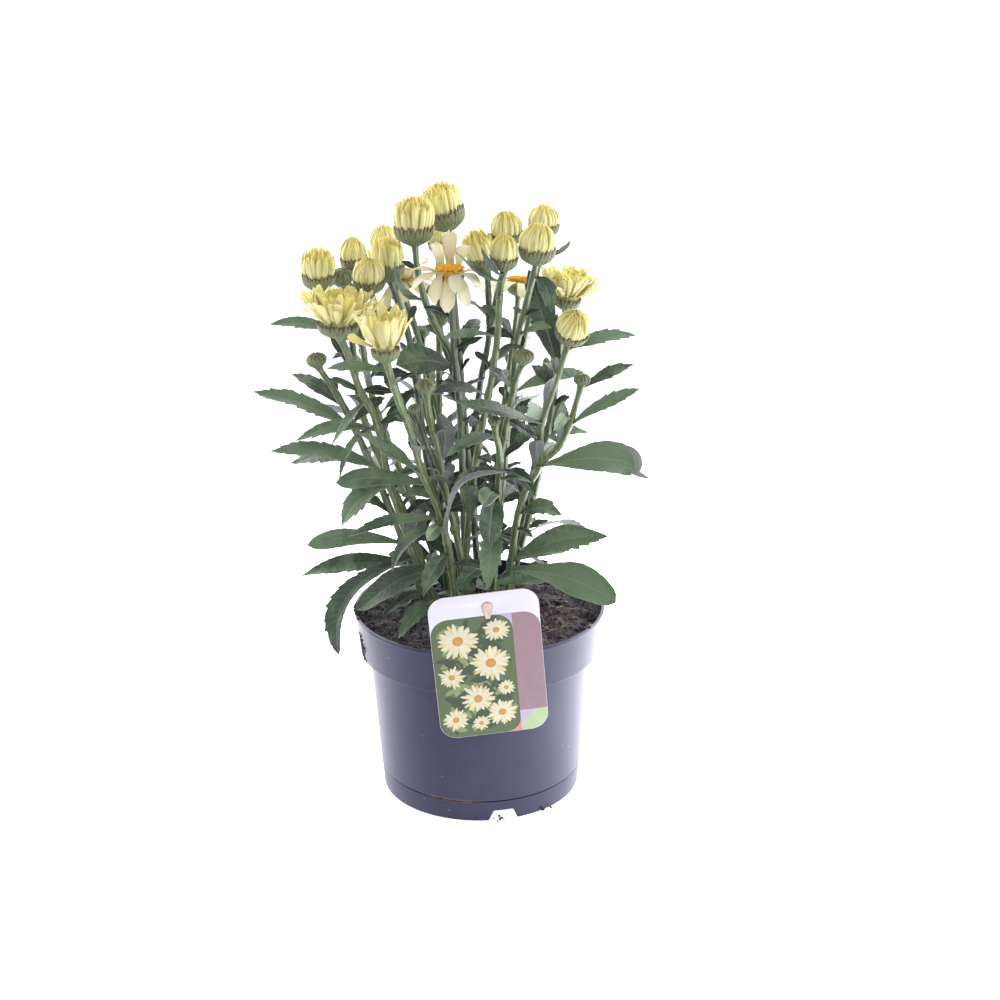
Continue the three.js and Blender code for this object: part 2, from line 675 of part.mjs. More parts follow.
        leaves: [[180, [88, 86, 170], [0, 0, 22], 14], [250, [44, 140, 262], [0, 0, 12], 12],
          [300, [72, 112, 322], [0, 0, 6], 9]],
      },
    ],
  },
];

// Where things grow: a shoot's middle line, and the point on it at a given height
function shootLine(stem, shoot) {
  const [x, y] = stem.foot;
  const buried = shoot === stem.shoots[0] ? [[x, y, HOLE_BOTTOM], [x, y, SOIL_CROWN + 4]] : [];
  return new THREE.CatmullRomCurve3([...buried, ...shoot.path].map(point), false, 'catmullrom', 0.5);
}

function pointAtHeight(line, height) {
  const steps = 40 * (line.points.length - 1);
  for (let i = 1; i <= steps; i += 1) {
    const [below, above] = [line.getPoint((i - 1) / steps), line.getPoint(i / steps)];
    if (above.z >= height || i === steps) {
      return below.lerp(above, Math.min(1, (height - below.z) / (above.z - below.z)));
    }
  }
  return null;
}

// What is taken: middle points of stems, heads, petals and leaves, with the room that each needs
const taken = [];
const take = (points, room, owner) => points.forEach((at) => taken.push({ at, room, owner }));

function overPotOrLabel(at) {
  const out = Math.hypot(at.x, at.y);
  const top = out > BODY_TOP_RADIUS ? POT_HEIGHT : SOIL_CROWN;
  if (out < RIM_RADIUS + LEAF_OVER && at.z < top + LEAF_OVER) return true;
  return Math.abs(at.x - LABEL_MIDDLE) < LABEL_ROOM && at.y < -LABEL_NEAR && at.z < LABEL_OVER;
}

function isFree(points, room, owner) {
  return points.every((at) => !overPotOrLabel(at) && taken.every((other) => {
    const reach = room + other.room;
    return other.owner === owner || at.distanceToSquared(other.at) > reach * reach;
  }));
}

// Half-width of a blade along its length, as a share of its greatest half-width
function outline(share, { base, widest, blunt }) {
  if (share < widest) {
    const rise = share / widest;
    return base + (1 - base) * rise * rise * (3 - 2 * rise);
  }
  const fall = (share - widest) / (1 - widest);
  return (1 - fall * fall) ** blunt;
}

const FORMS = {
  lance: { base: 0.3, widest: 0.55, blunt: 0.9 },
  round: { base: 0.3, widest: 0.66, blunt: 0.5 },
  ray: { base: 0.3, widest: 0.6, blunt: 0.35 },
};

// A blade's middle line and the frame across it at a share of its length
function ribOf({ root, tip, bend, roll = 0, twist = 0, up = UP }) {
  const control = root.clone().add(tip).multiplyScalar(0.5).add(bend);
  const rib = new THREE.QuadraticBezierCurve3(root, control, tip);
  const left = up.clone().cross(tip.clone().sub(root)).normalize();
  return (share) => {
    const at = rib.getPoint(share);
    const along = rib.getTangent(share);
    const side = left.clone().addScaledVector(along, -left.dot(along)).normalize();
    side.applyAxisAngle(along, (roll + twist * share) * Math.min(1, share * 4));
    return { at, side, face: along.clone().cross(side) };
  };
}

function bladePoints(spec, from) {
  const frameAt = ribOf(spec);
  const length = spec.root.distanceTo(spec.tip);
  const rows = Math.ceil(length / 5);
  const points = [];
  for (let i = Math.ceil(rows * from); i <= rows; i += 1) {
    const { at, side, face } = frameAt(i / rows);
    const half = (spec.width / 2) * outline(i / rows, spec.form);
    const columns = half > 6 ? [-1, -0.5, 0, 0.5, 1] : [-1, 0, 1];
    columns.forEach((column) => points.push(at.clone().addScaledVector(side, column * half)
      .addScaledVector(face, Math.abs(column) * spec.fold * half)));
  }
  return points;
}

function bladeGeometry(spec) {
  const frameAt = ribOf(spec);
  const stations = spec.width > LONG_BASED_LEAF ? [[0, 1], [0.24, 1]] : [[0, 1]];
  for (let i = 0; i < spec.teeth; i += 1) {
    const tooth = 0.45 + (0.5 * i) / spec.teeth;
    stations.push([tooth, TOOTH_PROUD], [tooth + 0.16 / spec.teeth, TOOTH_BITE]);
  }
  if (!spec.teeth) stations.push([0.6, 1], [0.88, 1]);
  stations.push([1, 1]);
  const rings = stations.map(([share, bite]) => {
    const { at, side, face } = frameAt(share);
    const half = Math.max(0.5, (spec.width / 2) * outline(share, spec.form) * bite);
    const thick = spec.thickness * (share > 0.99 ? 0.35 : 0.5);
    const edge = at.clone().addScaledVector(face, spec.fold * half);
    return [
      edge.clone().addScaledVector(side, half),
      at.clone().addScaledVector(face, thick),
      edge.clone().addScaledVector(side, -half),
      at.clone().addScaledVector(face, -thick),
    ];
  });
  return loft(rings, { blade: true });
}

// A blade is turned a little aside or up, in degrees, until it is clear of what is already there
const TURNS = [[0, 0], [8, 0], [-8, 0], [0, 8], [0, -8], [16, 4], [-16, 4], [8, -12], [-8, 14],
  [24, 0], [-24, 0], [34, 8], [-34, 8]];

function settle(spec, room, owner) {
  for (const [aside, lift] of TURNS) {
    const way = spec.tip.clone().sub(spec.root);
    const flat = Math.hypot(way.x, way.y);
    const heading = Math.atan2(way.y, way.x) + radians(aside);
    const slope = Math.atan2(way.z, flat) + radians(lift);
    const reach = way.length();
    const tip = spec.root.clone().add(new THREE.Vector3(
      reach * Math.cos(slope) * Math.cos(heading),
      reach * Math.cos(slope) * Math.sin(heading),
      reach * Math.sin(slope),
    ));
    const bend = spec.bend.clone().applyAxisAngle(UP, radians(aside));
    const turned = { ...spec, tip, bend };
    if (isFree(bladePoints(turned, 0.3), room, owner)) {
      take(bladePoints(turned, 0.1), room, null);
      return turned;
    }
  }
  return null;
}

// A flower head's own frame: points at a height up its axis, a radius and a turn round it
function headFrame(base, lean) {
  const axis = point(lean).normalize();
  const across = new THREE.Vector3(1, 0, 0).addScaledVector(axis, -axis.x).normalize();
  const deep = axis.clone().cross(across);
  const at = (height, radius, turn) => base.clone().addScaledVector(axis, height)
    .addScaledVector(across, radius * Math.cos(turn)).addScaledVector(deep, radius * Math.sin(turn));
  return { axis, at };
}

function sidesOf(radius) {
  if (radius > 12.4) return 16;
  return radius > 9 ? 12 : 10;
}

function headRing(frame, count, place) {
  return Array.from({ length: count }, (_, j) => {
    const [height, radius] = place(j % 2 === 0 ? 1 : -1);
    return frame.at(height, radius, (j * 2 * Math.PI) / count);
  });
}

// The cup of green bracts that carries the petals; its edge is cut into pointed bract tips. A
// daisy's is narrower, for its drooping petals to pass outside it.
const CUP_BRIM = { bud: 0.98, brush: 0.98, half: 0.98, daisy: 0.8 };

function cupGeometry(frame, { kind, radius, cup }) {
  const count = sidesOf(radius);
  const brim = CUP_BRIM[kind];
  const rings = [
    headRing(frame, count, () => [cup * 0.25, radius * brim * 0.84]),
    headRing(frame, count, (tip) => [cup + BRACT_ZIGZAG * tip, radius * (brim + 0.03 * tip)]),
  ];
  return loft(rings, { firstMiddle: frame.at(-2, 0, 0), lastMiddle: frame.at(cup, 0, 0) });
}

// Petals still standing side by side as a ribbed barrel: closed over its top in a bud, open like
// a brush, or flared where the outer petals have already left it
const BARRELS = {
  bud: { belly: 1.03, shoulder: 0.82, brim: 0.42, hollow: 1 },
  brush: { belly: 1.03, shoulder: 0.98, brim: 0.8, hollow: 0.68 },
  half: { belly: 0.84, shoulder: 1, brim: 0.9, hollow: 0.6 },
};

function barrelGeometry(frame, { kind, radius, cup, height }) {
  const count = sidesOf(radius);
  const foot = cup + GAP;
  const { belly, shoulder, brim, hollow } = BARRELS[kind];
  const rings = [
    headRing(frame, count, (tip) => [foot + BRACT_ZIGZAG * tip, radius * (0.955 - 0.02 * tip)]),
    headRing(frame, count, (tip) => [foot + height * 0.4, radius * (belly - RIB * tip)]),
    headRing(frame, count, (tip) => [foot + height * 0.78, radius * (shoulder - RIB * tip)]),
    headRing(frame, count, (tip) => [foot + height * (0.93 - 0.07 * tip), radius * brim]),
  ];
  return loft(rings, {
    firstMiddle: frame.at(foot, 0, 0),
    lastMiddle: frame.at(foot + height * hollow, 0, 0),
  });
}

// A small hard green bud, tight round its tip
function greenBudGeometry(frame, { radius, cup }) {
  const rings = [[cup * 0.2, 0.8], [cup * 0.6, 1], [cup * 0.95, 0.62]].map(
    ([height, share]) => headRing(frame, 8, () => [height, radius * share]),
  );
  return loft(rings, { firstMiddle: frame.at(-2, 0, 0), lastMiddle: frame.at(cup * 1.05, 0, 0) });
}

// Single petals: on a half-open head each layer stands steeper than the one outside it, and on a
// daisy they spread and droop, or lie as they are listed, by their turn, slope and length
function petalOf(frame, head, start, turn, slope, length) {
  const height = head.cup + PETAL_ROOT;
  const root = frame.at(height, start, turn);
  const flat = start + length * Math.cos(radians(slope));
  const tip = frame.at(height + length * Math.sin(radians(slope)), flat, turn);
  const [rise, bulge] = head.kind === 'daisy' ? [5, 0] : [0, 3.5];
  const bend = frame.at(rise, bulge, turn).sub(frame.at(0, 0, turn));
  return {
    root, tip, bend, width: head.petal, thickness: PETAL_THICKNESS, fold: PETAL_FOLD, teeth: 0,
    form: FORMS.ray, up: frame.axis,
  };
}

function petalSpecs(frame, head, random) {
  if (head.petals) {
    return head.petals.map(([turn, slope, length]) => {
      const share = Math.abs(slope) > STEEP ? 0.88 : 0.84;
      return petalOf(frame, head, head.radius * share, radians(turn), slope, length);
    });
  }
  const open = head.kind === 'daisy';
  const start = head.radius * (open ? 0.84 : 0.7);
  return head.layers.flatMap((count, layer) => Array.from({ length: count }, (_, i) => petalOf(
    frame,
    head,
    start - layer * head.radius * 0.15,
    ((i + layer * 0.4 + 0.3 * random()) * 2 * Math.PI) / count,
    open ? -6 - 30 * random() : 46 + layer * 16 + 10 * random(),
    head.reach * (1 - layer * 0.08 - 0.12 * random()),
  )));
}

// The low base that a daisy's petals and disc sit on
function coreGeometry(frame, { radius, cup }) {
  const count = sidesOf(radius);
  const foot = cup + GAP;
  const top = foot + BASE_HEIGHT;
  const rings = [
    headRing(frame, count, (tip) => [foot + BRACT_ZIGZAG * tip, radius * (CUP_BRIM.daisy - 0.02 * tip)]),
    headRing(frame, count, () => [top, radius * 0.98]),
  ];
  return loft(rings, { firstMiddle: frame.at(foot, 0, 0), lastMiddle: frame.at(top, 0, 0) });
}

// The yellow disc of an open daisy, its florets raised as a lattice of low knobs
function discGeometry(frame, { radius, cup }) {
  const foot = cup + BASE_HEIGHT + 2 * GAP;
  const rows = [[0, 0.8, 0], [1.8, 0.82, 0.03], [3.7, 0.56, 0.08], [3.4, 0.25, 0.04]];
  const rings = rows.map(([height, share, knob]) => (
    headRing(frame, sidesOf(radius), (tip) => [foot + height, radius * (share + knob * tip)])
  ));
  return loft(rings, { firstMiddle: frame.at(foot, 0, 0), lastMiddle: frame.at(foot + 3.2, 0, 0) });
}

// A stem's tube, with a ring of corners at each point of its line that isn't close to the last one
function stemGeometry(line, radius) {
  const last = line.points.length - 1;
  const rows = [0];
  line.points.forEach((at, k) => {
    if (k && at.distanceTo(line.points[rows.at(-1)]) > RING_STEP) rows.push(k);
  });
  if (rows.at(-1) !== last) rows.push(last);
  return loft(rows.map((k) => {
    const at = line.points[k];
    const along = line.getTangent(k / last);
    const across = new THREE.Vector3(1, 0, 0).addScaledVector(along, -along.x).normalize();
    const deep = along.clone().cross(across);
    const thick = radius + ((STEM_TIP_RADIUS - radius) * k) / last;
    return Array.from({ length: STEM_SIDES }, (_, j) => {
      const turn = (j * 2 * Math.PI) / STEM_SIDES;
      return at.clone().addScaledVector(across, thick * Math.cos(turn))
        .addScaledVector(deep, thick * Math.sin(turn));
    });
  }));
}

function growHead(name, head, random) {
  const petalsName = `petals_${name}`;
  if (head.kind === 'brush' || head.kind === 'bud') {
    addMesh(petalsName, barrelGeometry(head.frame, head), COLOURS.petals, 0.7);
  }
  if (head.kind === 'half' || head.kind === 'daisy') {
    const petals = petalSpecs(head.frame, head, random).map(bladeGeometry);
    const core = (head.kind === 'half' ? barrelGeometry : coreGeometry)(head.frame, head);
    addMesh(petalsName, toGeometry(fuse([core, ...petals])), COLOURS.petals, 0.7);
  }
  if (head.kind === 'daisy') {
    addMesh(`disc_${name}`, discGeometry(head.frame, head), COLOURS.disc, 0.8);
  }
  return (head.kind === 'green' ? greenBudGeometry : cupGeometry)(head.frame, head);
}

// A leaf as it is listed, turned until it has room, or nothing where it finds none
function growLeaf(plant, line, [height, tip, bend, breadth, form], random) {
  const root = pointAtHeight(line, height);
  const heading = Math.atan2(tip[1] - root.y, tip[0] - root.x);
  const facing = radians(root.y > BACK_FROM ? -LEAF_FACING : LEAF_FACING);
  const leaf = settle({
    root,
    tip: point(tip),
    bend: point(bend),
    width: breadth * LEAF_BREADTH,
    form: FORMS[form ?? 'lance'],
    teeth: breadth < NARROW_LEAF ? 0 : TEETH,
    thickness: LEAF_THICKNESS,
    fold: LEAF_FOLD,
    roll: facing * Math.cos(heading),
    twist: LEAF_TWIST * (random() - 0.5),
  }, LEAF_ROOM, plant.owner);
  return leaf ? [bladeGeometry(leaf)] : [];
}

function makePlant() {
  const random = randomFrom(PLANT_SEED);
  const plants = STEMS.map((stem, number) => ({
    ...stem,
    owner: number,
    parts: [],
    lines: stem.shoots.map((shoot) => shootLine(stem, shoot)),
  }));

  // Stems and heads stand first, so that all later blades can keep clear of them
  plants.forEach(({ lines, owner }) => lines.forEach((line) => {
    take(line.getSpacedPoints(Math.ceil(line.getLength() / 4)), STEM_ROOM, owner);
  }));
  plants.forEach((plant) => plant.shoots.forEach(({ head }, i) => {
    head.frame = headFrame(plant.lines[i].getPoint(1), head.lean);
    const top = head.height ?? 0;
    take([head.frame.at(head.cup * 0.5, 0, 0)], head.radius + 1, null);
    if (top) take([head.frame.at(head.cup + top * 0.5, 0, 0)], head.radius + 1, null);
  }));

  plants.forEach((plant) => plant.shoots.forEach(({ head }, i) => {
    const name = `${plant.name.replace('stem_', '')}_${i + 1}`;
    plant.parts.push(stemGeometry(plant.lines[i], i ? FORK_RADIUS : STEM_RADIUS));
    plant.parts.push(growHead(name, head, random));
  }));
  plants.forEach((plant) => plant.shoots.forEach(({ leaves }, i) => leaves.forEach((leaf) => {
    plant.parts.push(...growLeaf(plant, plant.lines[i], leaf, random));
  })));
  plants.forEach((plant) => {
    addMesh(plant.name, toGeometry(fuse(plant.parts)), COLOURS.stem, 0.6);
  });
}

makePot();
const stakeSlot = makeLabel();
makePlant();
makeSoil([stakeSlot, ...STEMS.map(({ foot }) => stemHole(foot))]);

export default object;
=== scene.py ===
# Potted shasta daisy with cream flowers, in a filled nursery pot with its plant label. Sizes are in
# millimetres and the scene in metres; each piece is placed in the frame of the solid model.
import math
import random

import bpy
import numpy as np
from mathutils import Matrix, Vector, noise


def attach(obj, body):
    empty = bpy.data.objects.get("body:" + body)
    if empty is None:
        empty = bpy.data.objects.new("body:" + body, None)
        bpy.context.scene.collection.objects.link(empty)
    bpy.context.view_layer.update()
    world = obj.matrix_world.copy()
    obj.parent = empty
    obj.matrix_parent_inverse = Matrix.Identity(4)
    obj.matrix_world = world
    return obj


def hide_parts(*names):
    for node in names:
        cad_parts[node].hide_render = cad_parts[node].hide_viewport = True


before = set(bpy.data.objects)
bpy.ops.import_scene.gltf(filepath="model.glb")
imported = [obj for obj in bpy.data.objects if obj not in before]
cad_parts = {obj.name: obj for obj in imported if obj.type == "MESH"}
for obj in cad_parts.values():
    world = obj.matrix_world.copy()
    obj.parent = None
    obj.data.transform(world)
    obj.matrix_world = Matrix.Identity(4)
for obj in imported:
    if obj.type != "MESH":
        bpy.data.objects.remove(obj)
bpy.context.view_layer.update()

# Studio: a pale floor in a white room that is brighter behind the plant than in front of it. It has a
# broad soft light behind each side, one above the camera and one over the floor far behind. The
# camera looks down by 20 degrees.
CAMERA_DISTANCE, CAMERA_HEIGHT = 1.3759, 0.7196
CAMERA_PITCH, CAMERA_YAW, CAMERA_ROLL = map(math.radians, (19.66, 0.676, -0.394))
LENS, SENSOR = 70.51, 36
# Each lamp: its place, what it aims at, its size in metres and its power in watts
LAMPS = {"left": ((-1.3, 0.75, 0.6), (0, 0, 0.2), 1.3, 29), "right": ((1.35, 0.5, 0.6), (0, 0, 0.2), 1.5, 43),
         "above": ((-0.3, -1.6, 2.3), (0, 0, 0.25), 1.8, 19), "behind": ((0, 4.8, 2.6), (0, 4.8, 0), 5, 110)}
# The paper glows beside the pot, most on the right, and shines in the pot's walls. Each spot has a
# place on the paper, a reach and a strength
GLOWS = ((0.5, -5.7, 0.75, 4.6), (-0.5, -5.65, 0.6, 1.7))


def linear(code):
    """An sRGB hex colour as linear numbers."""
    channels = [int(code[i : i + 2], 16) / 255 for i in (1, 3, 5)]
    return (*[c / 12.92 if c <= 0.04045 else ((c + 0.055) / 1.055) ** 2.4 for c in channels], 1)


class Nodes:
    """Shader nodes of a material or a world. Inputs are numbers, hex colours or outputs of others."""

    def __init__(self, owner):
        owner.use_nodes = True
        self.owner, self.tree = owner, owner.node_tree

    def fill(self, node, inputs):
        for key, value in inputs.items():
            if isinstance(value, bpy.types.NodeSocket):
                self.tree.links.new(value, node.inputs[key])
            else:
                node.inputs[key].default_value = linear(value) if isinstance(value, str) else value
        return node

    def add(self, kind, inputs=None, **settings):
        node = self.tree.nodes.new("ShaderNode" + kind)
        for name, value in settings.items():
            setattr(node, name, value)
        return self.fill(node, inputs or {})

    def math(self, operation, *values):
        return self.add("Math", dict(enumerate(values)), operation=operation).outputs[0]

    def span(self, *numbers):
        """A value, the low and high ends of its run, and what it becomes at each end."""
        return self.add("MapRange", dict(enumerate(numbers))).outputs[0]

    def mix(self, share, first, second, blend="MIX"):
        return self.add("Mix", {0: share, 6: first, 7: second}, data_type="RGBA", blend_type=blend).outputs[2]

    def ramp(self, value, places, colours):
        node = self.add("ValToRGB", {0: value})
        for i, (place, colour) in enumerate(zip(places, colours)):
            points = node.color_ramp.elements
            point = points[i] if i < 2 else points.new(place)
            point.position, point.color = place, linear(colour)
        return node.outputs[0]

    def place(self):
        return self.add("TexCoord").outputs["Object"]

    def noise(self, scale, detail, rough=0.5, at=None):
        inputs = {"Vector": at or self.place(), "Scale": scale, "Detail": detail, "Roughness": rough}
        return self.add("TexNoise", inputs).outputs["Fac"]

    def bump(self, height, strength, distance):
        return self.add("Bump", {"Height": height, "Strength": strength, "Distance": distance}).outputs[0]

    def split(self, vector):
        return self.add("SeparateXYZ", {0: vector}).outputs

    def marks(self):
        """How far across and how far along its sheet a point lies, as the mesh marks it."""
        return self.split(self.add("UVMap", uv_map="marks").outputs[0])[:2]

    def tone(self):
        return self.add("Attribute", attribute_name="tone").outputs["Fac"]

    def finish(self, **inputs):
        self.fill(self.tree.nodes["Principled BSDF"], {k.replace("_", " "): v for k, v in inputs.items()})
        return self.owner


def new_finish(name):
    return Nodes(bpy.data.materials.new(name))


camera = bpy.data.objects.new("camera", bpy.data.cameras.new("camera"))
camera.data.lens, camera.data.sensor_width = LENS, SENSOR
forward = Vector((math.sin(CAMERA_YAW) * math.cos(CAMERA_PITCH),
                  math.cos(CAMERA_YAW) * math.cos(CAMERA_PITCH), -math.sin(CAMERA_PITCH)))
right = forward.cross(Vector((0, 0, 1))).normalized()
right.rotate(Matrix.Rotation(-CAMERA_ROLL, 3, forward))
camera.matrix_world = Matrix.Translation((0, -CAMERA_DISTANCE, CAMERA_HEIGHT)) @ Matrix(
    (right, right.cross(forward), -forward)).transposed().to_4x4()
bpy.context.scene.collection.objects.link(camera)
bpy.context.scene.camera = camera
bpy.context.scene.view_settings.view_transform = "Standard"

room = Nodes(bpy.data.worlds.new("white_room"))
bpy.context.scene.world = room.owner
depth = room.split(room.add("TexCoord").outputs["Generated"])["Y"]
glow = room.span(depth, 0.15, 0.75, 0.6, 2.3)
room.fill(room.tree.nodes["Background"], {"Strength": glow, "Color": "#f6f5fe"})

bpy.ops.mesh.primitive_plane_add(size=24, location=(0, 6, -0.0002))
floor = bpy.context.object
floor.name = "floor"
paper = new_finish("white_paper")
glow = 0
for x, y, reach, strength in GLOWS:
    away = paper.add("VectorMath", {0: paper.place(), 1: (x, y, 0)}, operation="DISTANCE").outputs["Value"]
    glow = paper.math("ADD", glow, paper.span(away, 0.1, reach, strength, 0))
floor.data.materials.append(paper.finish(Base_Color="#f4f3f8", Roughness=0.9, Emission_Color="#f6f5fd",
                                         Emission_Strength=glow))

for name, (place, aim, size, power) in LAMPS.items():
    lamp = bpy.data.objects.new("light_" + name, bpy.data.lights.new("light_" + name, "AREA"))
    lamp.data.size, lamp.data.energy = size, power
    lamp.location = place
    lamp.rotation_euler = (Vector(aim) - Vector(place)).to_track_quat("-Z", "Y").to_euler()
    bpy.context.scene.collection.objects.link(lamp)

# Pot: a thin round nursery pot, injection moulded in satin navy-grey polypropylene. It has a collar
# band under a fine raised lip, a step near the foot, drain holes, and notches cut in its foot ring.
MM = 0.001
POT_HEIGHT, RIM_RADIUS, LIP_HEIGHT, LIP_PROUD = 144, 95, 2.4, 0.8
BAND_HEIGHT, BAND_FOOT_RADIUS, BODY_TOP_RADIUS = 33.5, 90.7, 84
STEP_RADIUS, FOOT_RADIUS, STEP_HEIGHT = 77, 75.4, 16.6
POT_WALL, FLOOR_UNDERSIDE, PAD_RADIUS, PAD_FLARE, FOOT_TAPER = 1.5, 9.5, 12, 4, 0.8
NOTCH_COUNT, NOTCH_WIDTH, NOTCH_TOP_WIDTH, NOTCH_HEIGHT, FIRST_NOTCH = 3, 24, 15, 8.5, -77.5
DRAIN_COUNT, DRAIN_RADIUS, DRAIN_CIRCLE = 6, 6, 50
POT_TURNS = 192


def apply_modifier(piece, kind, **settings):
    modifier = piece.modifiers.new(kind.lower(), kind)
    for name, value in settings.items():
        setattr(modifier, name, value)
    bpy.context.view_layer.objects.active = piece
    bpy.ops.object.modifier_apply(modifier=modifier.name)


def bevel(piece, width, segments, angle):
    apply_modifier(piece, "BEVEL", width=width * MM, segments=segments, limit_method="ANGLE",
                   angle_limit=math.radians(angle))


def cut(piece, cutter):
    apply_modifier(piece, "BOOLEAN", operation="DIFFERENCE", solver="EXACT", object=cutter)
    bpy.data.objects.remove(cutter)


def select(*pieces):
    bpy.ops.object.select_all(action="DESELECT")
    for piece in pieces:
        piece.select_set(True)
    bpy.context.view_layer.objects.active = pieces[0]


def shade_smooth(piece, angle):
    select(piece)
    bpy.ops.object.shade_smooth_by_angle(angle=math.radians(angle))
    return piece


def close_edit():
    """Turns all faces outwards and leaves edit mode."""
    bpy.ops.mesh.select_all(action="SELECT")
    bpy.ops.mesh.normals_make_consistent(inside=False)
    bpy.ops.object.mode_set(mode="OBJECT")


def finish_piece(piece, name, node):
    """Names a piece, hangs it on the root body and hides the solid it stands for."""
    piece.name = name
    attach(piece, "root")
    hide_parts(node)


def around(radius, turn):
    return radius * math.cos(turn), radius * math.sin(turn)


def rounded_corners(profile):
    """The corners of a profile. One given with a third number is rounded to about that radius."""
    points = []
    for k, (radius, height, *rounding) in enumerate(profile):
        corner = Vector((radius, height))
        if not rounding:
            points.append(tuple(corner))
            continue
        before, after = Vector(profile[k - 1][:2]), Vector(profile[k + 1][:2])
        start = corner + (before - corner).normalized() * rounding[0]
        end = corner + (after - corner).normalized() * rounding[0]
        for w in (0, 0.25, 0.5, 0.75, 1):
            points.append(tuple(start * (1 - w) ** 2 + corner * (2 * w * (1 - w)) + end * w**2))
    return points


def make_pot():
    band_foot, lip_foot = POT_HEIGHT - BAND_HEIGHT, POT_HEIGHT - LIP_HEIGHT
    floor_top = FLOOR_UNDERSIDE + POT_WALL
    profile = rounded_corners([
        (PAD_RADIUS, 0), (PAD_RADIUS + PAD_FLARE, FLOOR_UNDERSIDE),
        (FOOT_RADIUS - POT_WALL, FLOOR_UNDERSIDE), (FOOT_RADIUS - POT_WALL - FOOT_TAPER, 0),
        (FOOT_RADIUS, 0, 0.5), (STEP_RADIUS - 0.25, STEP_HEIGHT - 0.5, 0.3),
        (STEP_RADIUS - 1.0, STEP_HEIGHT - 0.2), (STEP_RADIUS - 1.0, STEP_HEIGHT + 0.3),
        (STEP_RADIUS, STEP_HEIGHT + 0.6, 0.3),
        (BODY_TOP_RADIUS, band_foot, 1.6), (BAND_FOOT_RADIUS, band_foot, 1.1),
        (RIM_RADIUS - LIP_PROUD, lip_foot - 0.5, 0.3), (RIM_RADIUS, lip_foot - 0.1, 0.5),
        (RIM_RADIUS, POT_HEIGHT, 0.8), (RIM_RADIUS - LIP_PROUD - POT_WALL, POT_HEIGHT, 0.5),
        (BAND_FOOT_RADIUS - POT_WALL, band_foot + POT_WALL),
        (BODY_TOP_RADIUS - POT_WALL, band_foot + POT_WALL), (FOOT_RADIUS - POT_WALL + 1, floor_top),
        (PAD_RADIUS + PAD_FLARE - 1, floor_top), (PAD_RADIUS - 1, POT_WALL),
    ])
    bpy.ops.object.select_all(action="DESELECT")
    radius, height = profile[0]
    bpy.ops.mesh.primitive_circle_add(vertices=POT_TURNS, radius=radius * MM, fill_type="NGON",
                                      location=(0, 0, height * MM))
    pot = bpy.context.object
    bpy.ops.object.transform_apply(location=True)
    bpy.ops.object.mode_set(mode="EDIT")
    bpy.ops.mesh.select_mode(type="EDGE")
    for next_radius, next_height in profile[1:]:
        bpy.ops.mesh.extrude_edges_move(
            TRANSFORM_OT_translate={"value": (0, 0, (next_height - height) * MM)})
        scale = next_radius / radius
        bpy.ops.transform.resize(value=(scale, scale, 1), center_override=(0, 0, next_height * MM))
        radius, height = next_radius, next_height
    bpy.ops.mesh.edge_face_add()
    close_edit()
    for i in range(NOTCH_COUNT):
        turn = math.radians(FIRST_NOTCH + i * 360 / NOTCH_COUNT)
        bpy.ops.mesh.primitive_cube_add(
            size=1, rotation=(0, 0, turn),
            location=(*around(FOOT_RADIUS * MM, turn), (NOTCH_HEIGHT / 2 - 1) * MM),
            scale=(20 * MM, NOTCH_WIDTH * MM, (NOTCH_HEIGHT + 2) * MM))
        notch = bpy.context.object
        for corner in notch.data.vertices:
            if corner.co.z > 0:
                corner.co.y *= NOTCH_TOP_WIDTH / NOTCH_WIDTH
        bpy.ops.object.transform_apply(location=False, rotation=False, scale=True)
        bevel(notch, 1.2, 4, 50)
        cut(pot, notch)
    for i in range(DRAIN_COUNT):
        turn = math.radians(FIRST_NOTCH + (i + 0.5) * 360 / DRAIN_COUNT)
        bpy.ops.mesh.primitive_cylinder_add(
            vertices=24, radius=DRAIN_RADIUS * MM, depth=6 * MM,
            location=(*around(DRAIN_CIRCLE * MM, turn), FLOOR_UNDERSIDE * MM))
        cut(pot, bpy.context.object)
    return shade_smooth(pot, 35)


